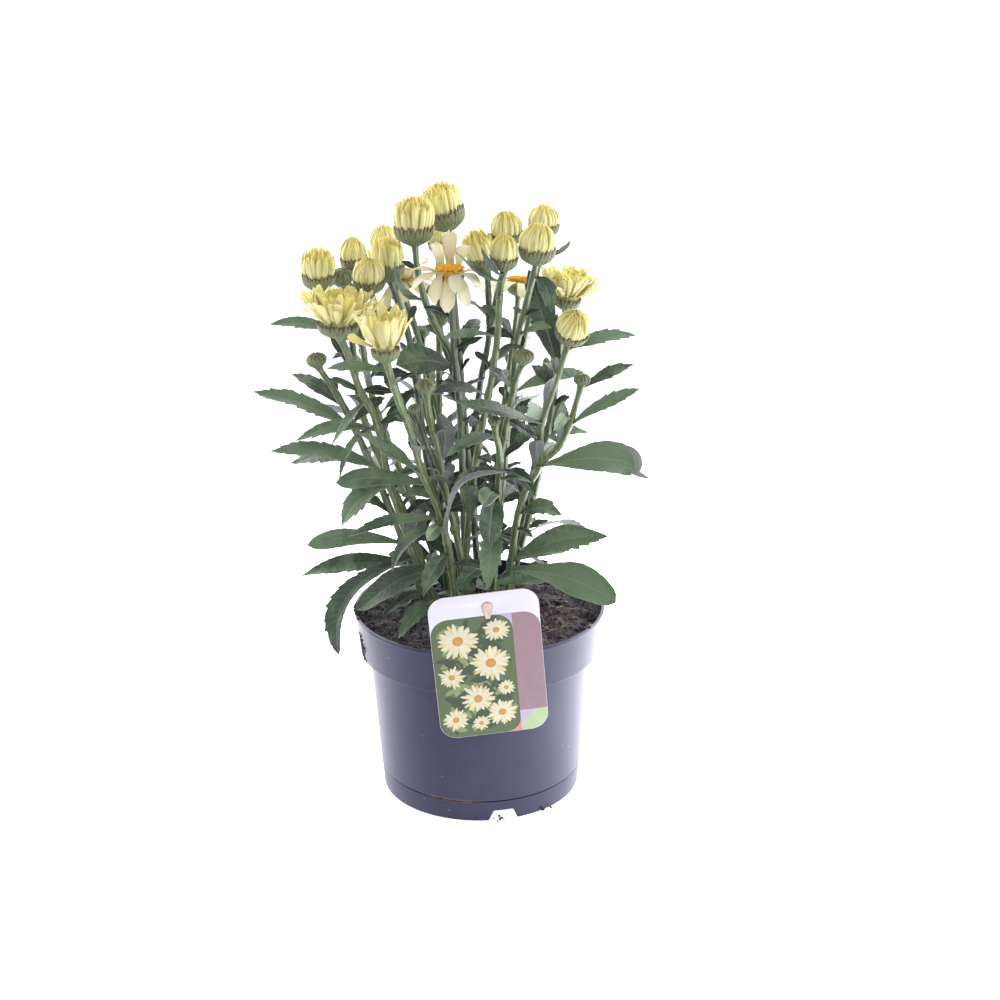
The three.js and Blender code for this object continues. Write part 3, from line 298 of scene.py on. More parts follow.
def moulded_polypropylene():
    """Satin moulded plastic: even navy-grey, with faint cloudy wear, pale specks and peat on the rim."""
    wall = new_finish("moulded_polypropylene")
    place = wall.place()
    cloud = wall.noise(28, 5, 0.6)
    colour = wall.ramp(cloud, (0.35, 0.7), ("#1c1d3a", "#242648"))
    dust = wall.add("TexVoronoi", {"Vector": place, "Scale": 210, "Randomness": 1}).outputs
    rare = wall.math("GREATER_THAN", wall.split(dust["Color"])["X"], 0.93)
    speck = wall.math("MULTIPLY", wall.span(dust["Distance"], 0.05, 0.12, 1, 0), rare)
    colour = wall.mix(speck, colour, "#8d8ea3")
    smear = wall.add("Mapping", {"Vector": place, "Location": (0.0925, 0.006, -0.128)}).outputs[0]
    smear = wall.add("VectorMath", {0: smear, 1: (1, 0.9, 0.7)}, operation="MULTIPLY").outputs[0]
    far = wall.add("VectorMath", {0: smear}, operation="LENGTH").outputs["Value"]
    crumble = wall.noise(420, 3)
    ragged = wall.math("MULTIPLY_ADD", crumble, 0.014, far)
    colour = wall.mix(wall.span(ragged, 0.0120, 0.0135, 1, 0), colour, "#5a4238")
    # Peat water has dried in the groove of the step, at the front on the left
    x, y, z = wall.split(place)
    off_step = wall.math("MULTIPLY_ADD", crumble, 0.0022, wall.math("ABSOLUTE", wall.math("ADD", z, -0.0168)))
    off_side = wall.math("ABSOLUTE", wall.math("ADD", x, 0.023))
    stain = wall.math("MULTIPLY", wall.span(off_step, 0.0014, 0.0024, 0.8, 0),
                      wall.span(off_side, 0.014, 0.026, 1, 0))
    stain = wall.math("MULTIPLY", stain, wall.math("LESS_THAN", y, 0.0))
    return wall.finish(Base_Color=wall.mix(stain, colour, "#75594b"), IOR=1.49,
                       Roughness=wall.span(cloud, 0, 1, 0.3, 0.42),
                       Normal=wall.bump(wall.noise(900, 2), 0.05, 0.0004))


pot = make_pot()
pot.data.materials.append(moulded_polypropylene())
finish_piece(pot, "nursery_pot", "pot")

# Soil: dark peat pressed into the pot a little below its rim, with loose crumbs, bits of reddish
# bark and pale fibres on top. The crumbs are small lumps, each half sunk in the surface.
SOIL_EDGE, SOIL_CROWN, SOIL_SKIRT = 133, 136, 125
SOIL_WAVES = ((1.2, 0.13, 0.05), (0.8, -0.08, 0.21), (0.6, 0.31, 0.27))
SOIL_RADIUS = 92.2
SOIL_ROWS, SOIL_TURNS = 84, 240
CRUMBS, BARK_BITS, FIBRES, FIBRE_STEP = 2100, 90, 170, 1.6
# Small heaps of loose bits on the soil: their middle, spread, count, size and lightness
HEAPS = ((-76, -15, 6, 60, 1.1, 1.1), (-53, -42, 11, 60, 0.9, 0.78), (50, -30, 4, 6, 2.3, 0.8),
         (70, 2, 15, 80, 0.9, 0.72), (50, 14, 12, 40, 0.8, 0.7))
# Specks that stick to the pot's body: how far round from the front, in degrees, and how high
SPECKS = ((-11, 42), (-22, 12.5), (-26, 19), (-9, 13), (2, 5), (-44, 30), (-4, 17.5), (-3, 15))
# Crumbs spilt on the rim and on the band: how many, and how far round, in degrees, and how spread
RIM_SPILL, BAND_SPILL, BAND_SPILL_HEIGHT = (70, 186, 4), (130, 197, 1.8), (121, 5.5)
# Bits that fell beside the foot: their middle and how many they are
FALLEN = ((12.5, -74, 12), (48, -61, 7))
PEAT_SEED = 7


class Skin:
    """Gathers vertices, faces and marks, in millimetres, and makes them one mesh."""

    def __init__(self):
        self.points, self.faces, self.marks, self.tones, self.finishes = [], [], [], [], []
        self.count = 0

    def put(self, points, faces, marks=None, tone=0.5, finish=0):
        """faces is an array of quads or of triangles; marks are UV pairs, tone a number per point."""
        points = np.asarray(points, float).reshape(-1, 3)
        faces = np.asarray(faces, int)
        self.points.append(points)
        self.faces.append(faces + self.count)
        self.marks.append(np.zeros((len(points), 2)) if marks is None else np.asarray(marks).reshape(-1, 2))
        self.tones.append(np.broadcast_to(tone, len(points)))
        self.finishes.append(np.broadcast_to(finish, len(faces)))
        self.count += len(points)

    def close(self, ring, hub, marks=None, tone=0.5, finish=0):
        """Closes a ring of points, given by their numbers, with triangles that meet in a new point."""
        self.put([hub], np.zeros((0, 3), int), marks, tone, finish)
        self.faces.append(np.stack([ring, np.roll(ring, -1), np.full(len(ring), self.count - 1)], -1))
        self.finishes.append(np.full(len(ring), finish))

    def make(self, name, materials, smooth_angle):
        mesh = bpy.data.meshes.new(name)
        points = np.concatenate(self.points) * MM
        corners = np.concatenate([f.ravel() for f in self.faces])
        sizes = np.concatenate([np.full(len(f), f.shape[1]) for f in self.faces])
        mesh.vertices.add(len(points))
        mesh.vertices.foreach_set("co", points.ravel())
        mesh.loops.add(len(corners))
        mesh.loops.foreach_set("vertex_index", corners.astype(np.int32))
        mesh.polygons.add(len(sizes))
        mesh.polygons.foreach_set("loop_start", (np.cumsum(sizes) - sizes).astype(np.int32))
        mesh.polygons.foreach_set("material_index", np.concatenate(self.finishes).astype(np.int32))
        mesh.update(calc_edges=True)
        marks = np.concatenate(self.marks)[corners]
        mesh.uv_layers.new(name="marks").data.foreach_set("uv", marks.astype(np.float32).ravel())
        tones = np.concatenate(self.tones).astype(np.float32)
        mesh.attributes.new("tone", "FLOAT", "POINT").data.foreach_set("value", tones)
        mesh.validate()
        piece = bpy.data.objects.new(name, mesh)
        bpy.context.scene.collection.objects.link(piece)
        for material in materials:
            mesh.materials.append(material)
        return shade_smooth(piece, smooth_angle)


def ring_faces(rings, sides):
    i, j = np.meshgrid(np.arange(rings - 1), np.arange(sides), indexing="ij")
    a, b = i * sides + j, i * sides + (j + 1) % sides
    return np.stack([a, b, b + sides, a + sides], -1).reshape(-1, 4)


def soil_height(x, y):
    out = math.hypot(x, y) / RIM_RADIUS
    waves = sum(height * math.sin(x * along_x + y * along_y) for height, along_x, along_y in SOIL_WAVES)
    return SOIL_CROWN + (SOIL_EDGE - SOIL_CROWN) * out * out + waves


def rough_soil_height(x, y):
    at = Vector((x, y, 0))
    lumps = 1.6 * noise.noise(at * 0.09) + 1.5 * noise.noise(at * 0.24) + 1.2 * noise.noise(at * 0.6)
    return soil_height(x, y) + lumps + 0.5 * noise.noise(at * 1.4)


def put_lump(skin, rng, at, size, flatness, *tones):
    """An uneven little solid with twenty faces. It has one tone, or one drawn between two."""
    stretch = np.array([rng.uniform(0.7, 1.3), rng.uniform(0.7, 1.3), rng.uniform(0.6, 1.1) * flatness])
    points = LUMP_POINTS * (1 + 0.3 * np.array([rng.uniform(-1, 1) for _ in LUMP_POINTS]))[:, None]
    turn = Matrix.Rotation(rng.uniform(0, 2 * math.pi), 3, "Z")
    turn = turn @ Matrix.Rotation(rng.uniform(-0.5, 0.5), 3, "X")
    skin.put((points * stretch * size) @ np.array(turn).T + at, LUMP_FACES,
             tone=rng.uniform(*tones) if len(tones) > 1 else tones[0])


def make_soil():
    rng = random.Random(PEAT_SEED)
    skin = Skin()
    rows = []
    for i in range(SOIL_ROWS + 1):
        for j in range(SOIL_TURNS):
            x, y = around(SOIL_RADIUS * (1 - (i / SOIL_ROWS) * 0.995), 2 * math.pi * j / SOIL_TURNS)
            rows.append((x, y, rough_soil_height(x, y)))
    skirt = [(x * 0.985, y * 0.985, SOIL_SKIRT) for x, y, _ in rows[:SOIL_TURNS]]
    skin.put(skirt + rows, ring_faces(SOIL_ROWS + 2, SOIL_TURNS), tone=0.4)
    ring = np.arange(SOIL_TURNS)
    skin.close(len(rows) + ring, (0, 0, soil_height(0, 0)))
    skin.close(ring[::-1], (0, 0, SOIL_SKIRT))
    for k in range(CRUMBS + BARK_BITS):
        bark = k >= CRUMBS
        radius = (SOIL_RADIUS - 3) * math.sqrt(rng.random())
        x, y = around(radius, rng.uniform(0, 2 * math.pi))
        size = rng.uniform(1.0, 2.6) if bark else 0.35 + 1.7 * rng.random() ** 2
        at = (x, y, rough_soil_height(x, y) + size * 0.15)
        put_lump(skin, rng, at, size, *((0.35, 0.75, 1) if bark else (1, 0, 0.6)))
    for heap_x, heap_y, spread, count, size, tone in HEAPS:
        for _ in range(count):
            x, y = rng.gauss(heap_x, spread * 0.6), rng.gauss(heap_y, spread * 0.6)
            if math.hypot(x, y) < SOIL_RADIUS - 2:
                at = (x, y, rough_soil_height(x, y) + 0.4)
                put_lump(skin, rng, at, size * rng.uniform(0.5, 1.2), 0.7, tone - 0.1, tone + 0.1)
    for fibre in range(FIBRES):
        radius, turn = 88 * math.sqrt(rng.random()), rng.uniform(0, 2 * math.pi)
        if fibre % 3 == 0:
            radius, turn = rng.uniform(45, 86), math.radians(rng.uniform(-55, 20))
        heading, bow = rng.uniform(0, 2 * math.pi), rng.uniform(-0.12, 0.12)
        x, y = around(radius, turn)
        route = []
        for _ in range(rng.randint(5, 12)):
            route.append((x, y, rough_soil_height(x, y) + 0.5 + rng.uniform(0, 0.5)))
            x, y = x + FIBRE_STEP * math.cos(heading), y + FIBRE_STEP * math.sin(heading)
            heading += bow + rng.uniform(-0.2, 0.2)
            if math.hypot(x, y) > 89:
                break
        if len(route) > 2:
            put_tube(skin, np.array(route), np.full(len(route), rng.uniform(0.12, 0.28)), 4,
                     tone=rng.uniform(0.85, 1.2))
    put_spilt_crumbs(skin, rng)
    return skin


def put_spilt_crumbs(skin, rng):
    """Peat spilt on the rim and the band at the left, bits on the body, and some fallen to the foot."""
    count, *spread_round = RIM_SPILL
    for _ in range(count):
        turn = math.radians(rng.gauss(*spread_round))
        at = (*around(rng.uniform(RIM_RADIUS - 2.6, RIM_RADIUS + 0.1), turn), POT_HEIGHT + 0.2)
        put_lump(skin, rng, at, rng.uniform(0.4, 1.2), 1, 0.1, 0.6)
    slope = (RIM_RADIUS - LIP_PROUD - BAND_FOOT_RADIUS) / BAND_HEIGHT
    count, *spread_round = BAND_SPILL
    for _ in range(count):
        turn, height = math.radians(rng.gauss(*spread_round)), rng.gauss(*BAND_SPILL_HEIGHT)
        if height < POT_HEIGHT - LIP_HEIGHT - 1:
            at = (*around(RIM_RADIUS - LIP_PROUD - (POT_HEIGHT - height) * slope, turn), height)
            put_lump(skin, rng, at, rng.uniform(0.4, 1.1), 1, 0.2, 0.7)
    x, y = around(RIM_RADIUS - 1.6, math.radians(-29))
    for size, shift in ((2.3, 0), (1.4, 1.5), (1.1, -1.2)):
        put_lump(skin, rng, (x, y + shift, POT_HEIGHT + 0.8), size, 0.8, 0.9)
    slope = (BODY_TOP_RADIUS - FOOT_RADIUS) / (POT_HEIGHT - BAND_HEIGHT)
    for aside, height in SPECKS:
        at = (*around(FOOT_RADIUS + slope * height + 0.35, math.radians(aside - 90)), height)
        put_lump(skin, rng, at, rng.uniform(0.45, 0.8), 1, 0.6, 0.85)
    for middle_x, middle_y, count in FALLEN:
        for _ in range(count):
            size = rng.uniform(0.4, 1.3)
            at = (rng.gauss(middle_x, 3.2), rng.gauss(middle_y, 2.4), size * 0.9)
            put_lump(skin, rng, at, size, 0.8, 0.3, 0.85)


def put_tube(skin, route, radii, sides, ridges=0, ridge=0.0, tone=0.5, finish=0):
    """A tube with closed ends along a route. Its marks run round it and, in decimetres, along it."""
    steps = np.gradient(route, axis=0)
    along = steps / np.linalg.norm(steps, axis=1)[:, None]
    hint = np.array((1.0, 0.0, 0.0) if abs(along[:, 0]).max() < 0.95 else (0.0, 0.0, 1.0))
    across = hint - along * (along @ hint)[:, None]
    across /= np.linalg.norm(across, axis=1)[:, None]
    turn = np.arange(sides) * 2 * np.pi / sides
    thick = radii[:, None] * (1 + ridge * np.cos(ridges * turn))[None, :]
    points = (route[:, None] + across[:, None] * (thick * np.cos(turn))[..., None]
              + np.cross(along, across)[:, None] * (thick * np.sin(turn))[..., None])
    length = np.concatenate([[0], np.cumsum(np.linalg.norm(np.diff(route, axis=0), axis=1))]) / 100
    marks = np.stack(np.broadcast_arrays((turn / (2 * np.pi))[None, :], length[:, None]), -1)
    ring = skin.count + np.arange(sides)
    skin.put(points, ring_faces(len(route), sides), marks, tone, finish)
    skin.close(ring[::-1], route[0], [marks[0, 0]], tone, finish)
    skin.close(ring + (len(route) - 1) * sides, route[-1], [marks[-1, 0]], tone, finish)


def damp_peat():
    """Damp peat: almost black brown, mottled at the size of its grains, with lighter bark and fibres."""
    peat = new_finish("damp_peat")
    tone, grain = peat.tone(), peat.noise(520, 6, 0.75)
    dark = peat.ramp(grain, (0.34, 0.55, 0.74), ("#0d0a0e", "#282029", "#584b58"))
    light = peat.ramp(tone, (0.55, 0.75, 1.0), ("#000000", "#6b463f", "#9b8b78"))
    warm = peat.mix(peat.noise(45, 3), dark, "#2f252c")
    colour = peat.mix(peat.span(tone, 0.55, 0.8, 0, 0.75), warm, light)
    # Painted light and shade: the peat is made paler towards the right, where the light falls on it, and
    # darker on the left, where it lies in shade
    painted_side_light = peat.span(peat.split(peat.place())["X"], -0.02, 0.05, 0.6, 1.35)
    return peat.finish(Base_Color=peat.mix(1.0, colour, painted_side_light, "MULTIPLY"), Roughness=0.75,
                       Sheen_Weight=0.12, Normal=peat.bump(grain, 0.8, 0.0012))


bpy.ops.mesh.primitive_ico_sphere_add(subdivisions=1, radius=1)
LUMP_POINTS = np.array([corner.co for corner in bpy.context.object.data.vertices])
LUMP_FACES = np.array([face.vertices for face in bpy.context.object.data.polygons])
bpy.data.objects.remove(bpy.context.object)
finish_piece(make_soil().make("peat", [damp_peat()], 75), "peat", "soil")

# Label: a stiff glossy card printed on white, hung over the rim on the peg of a beige stake. It
# carries a plain panel of cream blossoms over leaves, beside a mauve band, and no words.
CARD_WIDTH, CARD_HEIGHT, CARD_CORNER, CARD_THICKNESS = 79, 118, 13, 0.8
CARD_TURN, CARD_LEAN, CARD_ROLL = map(math.radians, (5, 7.3, 5))
CARD_SHIFT, CARD_MIDDLE = -2, 137
PEG_RADIUS, PEG_DROP, PEG_BELOW_EDGE, PEG_ASIDE, PEG_PROUD = 3.5, 9.5, 11, 2.6, 1
GAP, PRINT_LIFT = 0.35, 0.03
INKS = {"white_card": "#dddbe1", "mauve_ink": "#94797f", "lilac_ink": "#b7abc6", "green_ink": "#50633c",
        "yellow_ink": "#cfc384", "orange_ink": "#c98b38", "dark_green_ink": "#33482b",
        "salmon_ink": "#cf867c", "pale_green_ink": "#aec293", "cream_ink": "#d3d0b4",
        "rust_ink": "#b57c34", "light_green_ink": "#7f8f58", "raw_card_edge": "#bfae9a"}
(_, MAUVE, LILAC, GREEN, YELLOW, ORANGE, DARK_GREEN, SALMON, PALE_GREEN, CREAM, RUST, LIGHT_GREEN,
 RAW_EDGE) = range(len(INKS))
# The printed blossoms: where each one's middle is on the card, and how far its petals reach
BLOSSOMS = ((-20.5, 22.5, 16), (7.5, 28.5, 9.8), (1.5, 1.5, 15.5), (-27.5, -7, 9.6), (11, -20.5, 7),
            (-10, -27.5, 13), (-27.5, -43.5, 10), (6.5, -41, 11.4), (-9.5, -48.5, 7))
PRINTED_LEAVES, PRINT_SEED = 150, 3


def card_back(height):
    return -(RIM_RADIUS + GAP) - (height - POT_HEIGHT + LIP_HEIGHT) * math.tan(CARD_LEAN)


card_place = (Matrix.Rotation(CARD_TURN, 4, "Z")
              @ Matrix.Translation((CARD_SHIFT * MM, card_back(CARD_MIDDLE) * MM, CARD_MIDDLE * MM))
              @ Matrix.Rotation(math.pi / 2 + CARD_LEAN, 4, "X") @ Matrix.Rotation(CARD_ROLL, 4, "Z"))


def put_print(skin, outline, level, colour):
    """One printed shape, as a very thin plate on the face of the card."""
    low, high = CARD_THICKNESS - 0.1, CARD_THICKNESS + PRINT_LIFT * (1 + level)
    ring, middle = skin.count + np.arange(len(outline)), np.mean(outline, axis=0)
    rings = [np.column_stack([outline, np.full(len(ring), height)]) for height in (low, high)]
    skin.put(np.concatenate(rings), ring_faces(2, len(ring)), finish=colour)
    skin.close(ring[::-1], (*middle, low), finish=colour)
    skin.close(ring + len(ring), (*middle, high), finish=colour)


def rounded_panel(left, foot, right_side, top, corners):
    """The outline of an upright panel. corners are the radii from lower left round by lower right."""
    outline = []
    places = ((left, foot, 1, 1), (right_side, foot, -1, 1), (right_side, top, -1, -1), (left, top, 1, -1))
    for k, ((x, y, inward_x, inward_y), radius) in enumerate(zip(places, corners)):
        for i in range(9):
            aside, up = around(radius, math.pi + (k + i / 8) * math.pi / 2)
            outline.append((x + inward_x * radius + aside, y + inward_y * radius + up))
    return outline


def put_oval(skin, x, y, heading, along, aside, level, colour):
    """A printed petal or leaf that lies along its heading from x, y."""
    cosine, sine = math.cos(heading), math.sin(heading)
    outline = np.column_stack([x + along * cosine - aside * sine, y + along * sine + aside * cosine])
    put_print(skin, outline, level, colour)


def put_blossom(skin, x, y, size, turn, petals, level, rng):
    """A generic ray flower: a paler row of narrow petals over a yellower one, round a domed disc."""
    t = np.arange(12) * 2 * math.pi / 12
    for k in range(2 * petals):
        heading = turn + 2 * math.pi * (k * 0.5 + rng.uniform(-0.2, 0.2)) / petals
        reach = size * (rng.uniform(0.8, 1.1) if k % 2 else rng.uniform(0.74, 0.98))
        put_oval(skin, x, y, heading, reach * (0.56 + 0.44 * np.cos(t)),
                 size * 0.095 * np.sin(t) * (1 + 0.1 * np.cos(t)),
                 level + (0.5 if k % 2 else 0) + 0.01 * k, CREAM if k % 2 else YELLOW)
    for share, colour, higher in ((0.24, RUST, 1.1), (0.2, ORANGE, 1.4)):
        turns = np.linspace(0, 2 * math.pi, 18, endpoint=False)
        put_print(skin, [np.add((x, y), around(size * share, t)) for t in turns], level + higher, colour)


def add_drop(radius, drop, depth, low):
    """A drop-shaped block at the place of the peg, before it is stood up with the card."""
    outline = [around(radius, t) for t in np.linspace(-0.35, math.pi + 0.35, 20)]
    outline += [(-radius * 0.45, -drop), (radius * 0.45, -drop)]
    bpy.ops.mesh.primitive_circle_add(vertices=len(outline), radius=1, fill_type="NGON")
    block = bpy.context.object
    for corner, (x, y) in zip(block.data.vertices, outline):
        corner.co = Vector((x + PEG_ASIDE, y + CARD_HEIGHT / 2 - PEG_BELOW_EDGE, low)) * MM
    extrude((0, 0, depth))
    return block


def extrude(*moves):
    """Draws the faces of the active object out by each move in turn."""
    bpy.ops.object.mode_set(mode="EDIT")
    bpy.ops.mesh.select_all(action="SELECT")
    for move in moves:
        bpy.ops.mesh.extrude_region_move(TRANSFORM_OT_translate={"value": [MM * part for part in move]})
    close_edit()


def join(*pieces):
    select(*pieces)
    bpy.ops.object.join()
    return bpy.context.object


def make_card():
    bpy.ops.mesh.primitive_plane_add(size=1)
    card = bpy.context.object
    card.scale = (CARD_WIDTH * MM, CARD_HEIGHT * MM, 1)
    bpy.ops.object.transform_apply(scale=True)
    bpy.ops.object.mode_set(mode="EDIT")
    bpy.ops.mesh.bevel(offset=CARD_CORNER * MM, segments=14, affect="VERTICES")
    bpy.ops.object.mode_set(mode="OBJECT")
    extrude((0, 0, CARD_THICKNESS))
    cut(card, add_drop(PEG_RADIUS + GAP, PEG_DROP + GAP, 4, -2))
    bevel(card, 0.12, 2, 40)
    rng = random.Random(PRINT_SEED)
    skin = Skin()
    side, foot, corner = CARD_WIDTH / 2 - 0.2, -CARD_HEIGHT / 2 + 0.2, CARD_CORNER - 0.2
    for panel, corners, level, ink in (
            ((2, 8, 19.8, 41), (0.5, 0.5, 0.5, 0.5), -0.5, LILAC),
            ((19.4, foot, side, -41.6), (0.5, corner, 0.5, 0.5), -0.4, LILAC),
            ((6, foot, 19.6, -44), (0.5, 0.5, 0.5, 0.5), -0.5, SALMON),
            ((19.4, -41.6, side, 40.7), (0.5, 0.5, corner, 0.5), 0, MAUVE),
            ((20.6, foot, side, -41.4), (0.5, corner, 0.5, 17.5), 0, PALE_GREEN),
            ((-side, foot, 19.4, 41), (corner, 11, 13, 13), 0, GREEN)):
        put_print(skin, rounded_panel(*panel, corners), level, ink)
    t = np.arange(14) * 2 * math.pi / 14
    for _ in range(PRINTED_LEAVES):
        x, y = rng.uniform(-36, 15), rng.uniform(-54, 36)
        length, heading = rng.uniform(7, 15), rng.uniform(0, 2 * math.pi)
        ends = ((x, y), np.add((x, y), around(length, heading)))
        if all(math.hypot(max(abs(a + 10) - 18, 0), max(abs(b + 9) - 38, 0)) < 10.5 for a, b in ends):
            ink = rng.choice((DARK_GREEN, DARK_GREEN, LIGHT_GREEN))
            put_oval(skin, x, y, heading, length * (0.5 - 0.5 * np.cos(t)), -length * 0.2 * np.sin(t),
                     0.3 + rng.random() * 0.5, ink)
    for x, y, size in BLOSSOMS:
        put_blossom(skin, x, y, size, rng.uniform(0, 1), rng.choice((12, 13, 14)), 1.2 + rng.random(), rng)
    finishes = printed_card()
    printed = skin.make("printed", finishes, 20)
    for material in finishes:
        card.data.materials.append(material)
    for face in card.data.polygons:
        if abs(face.normal.z) < 0.3:
            face.material_index = RAW_EDGE
    return join(card, printed)


def printed_card():
    """Offset print under gloss varnish on white card. The varnish gives one clear, even sheen."""
    materials = []
    for name, colour in INKS.items():
        ink = new_finish(name)
        mottle = ink.span(ink.noise(160, 4), 0, 1, *((0.98, 1.0) if name == "white_card" else (0.86, 1.1)))
        materials.append(ink.finish(Base_Color=ink.mix(1.0, colour, mottle, "MULTIPLY"), Roughness=0.28))
    return materials


card = make_card()
card.data.transform(card_place)
finish_piece(shade_smooth(card, 30), "plant_label", "label_card")

# Stake: a flat strip of beige polystyrene pushed into the soil behind the label, bent over the rim.
# Its drop-shaped peg goes through the card from behind and shows on the front.
STAKE_WIDTH, STAKE_THICKNESS, STAKE_FOOT = 9, 2, (-74, 96)
STAKE_BEND_HEIGHT, STAKE_TOP = 166, 191


def make_stake():
    peg = add_drop(PEG_RADIUS, PEG_DROP, CARD_THICKNESS + PEG_PROUD + 3 * GAP, -3 * GAP)
    bevel(peg, 0.5, 3, 40)
    peg.data.transform(Matrix.Rotation(-CARD_TURN, 4, "Z") @ card_place)
    middle = sum(corner.co.x for corner in peg.data.vertices) / len(peg.data.vertices)
    behind, half = GAP + STAKE_THICKNESS / 2, STAKE_WIDTH / 2
    line = (STAKE_FOOT, *((card_back(height) + behind, height) for height in (STAKE_BEND_HEIGHT, STAKE_TOP)))
    bpy.ops.mesh.primitive_plane_add(size=1)
    strip = bpy.context.object
    for corner, (x, shift) in zip(strip.data.vertices, ((-half, -1), (half, -1), (-half, 1), (half, 1))):
        corner.co = (middle + x * MM, (line[0][0] + shift * STAKE_THICKNESS / 2) * MM, line[0][1] * MM)
    extrude(*((0, after[0] - before[0], after[1] - before[1]) for before, after in zip(line, line[1:])))
    bevel(strip, 0.4, 2, 50)
    stake = join(strip, peg)
    stake.data.transform(Matrix.Rotation(CARD_TURN, 4, "Z"))
    return shade_smooth(stake, 40)


def beige_polystyrene():
    """Moulded polystyrene: smooth, slightly waxy, a warm beige a little clouded."""
    plastic = new_finish("beige_polystyrene")
    colour = plastic.ramp(plastic.noise(240, 3), (0.3, 0.7), ("#c2a794", "#d6bfb0"))
    return plastic.finish(Base_Color=colour, Roughness=0.42)


stake = make_stake()
stake.data.materials.append(beige_polystyrene())
finish_piece(stake, "label_stake_and_peg", "label_stake")

# Growth: the plant has twenty-one stems, some forked, and each shoot runs through its points to the
# head that ends it. A leaf is given by the height where it grows, its tip, how far its rib's control
# point lies off the straight line, its width, and a roundness. It turns aside for what grew before it.
HOLE_BOTTOM, STEM_START = 118, 140
STEM_RADIUS, FORK_RADIUS, STEM_TIP_RADIUS, STEP_ALONG = 2.6, 2.4, 2, 4
LEAF_FOLD, LEAF_FACING, LEAF_BREADTH, LEAF_TWIST, BACK_FROM = 0.24, 38, 1.15, 0.5, 36
LEAF_ROOM, LEAFLET_ROOM, STEM_ROOM, LEAF_OVER = 2.2, 1.4, 3.2, 4
LABEL_MIDDLE, LABEL_ROOM, LABEL_NEAR, LABEL_OVER = 5, 48, 84, 202
PLANT_SEED, LEAFLET_SEED = 20, 11
# How a blade may turn aside and up, in degrees, to find room
TURNS = ((0, 0), (8, 0), (-8, 0), (0, 8), (0, -8), (16, 4), (-16, 4), (8, -12), (-8, 14), (24, 0), (-24, 0),
         (34, 8), (-34, 8))
# The forms of blades: breadth at the base, where they are widest, and how blunt they end
FORMS = {"lance": (0.3, 0.55, 0.9), "round": (0.3, 0.66, 0.5), "ray": (0.3, 0.6, 0.35)}


def shoot(path, kind, radius, cup, lean, *leaves, **more):
    return dict(path=path, leaves=leaves, head=dict(kind=kind, radius=radius, cup=cup, lean=lean, **more))


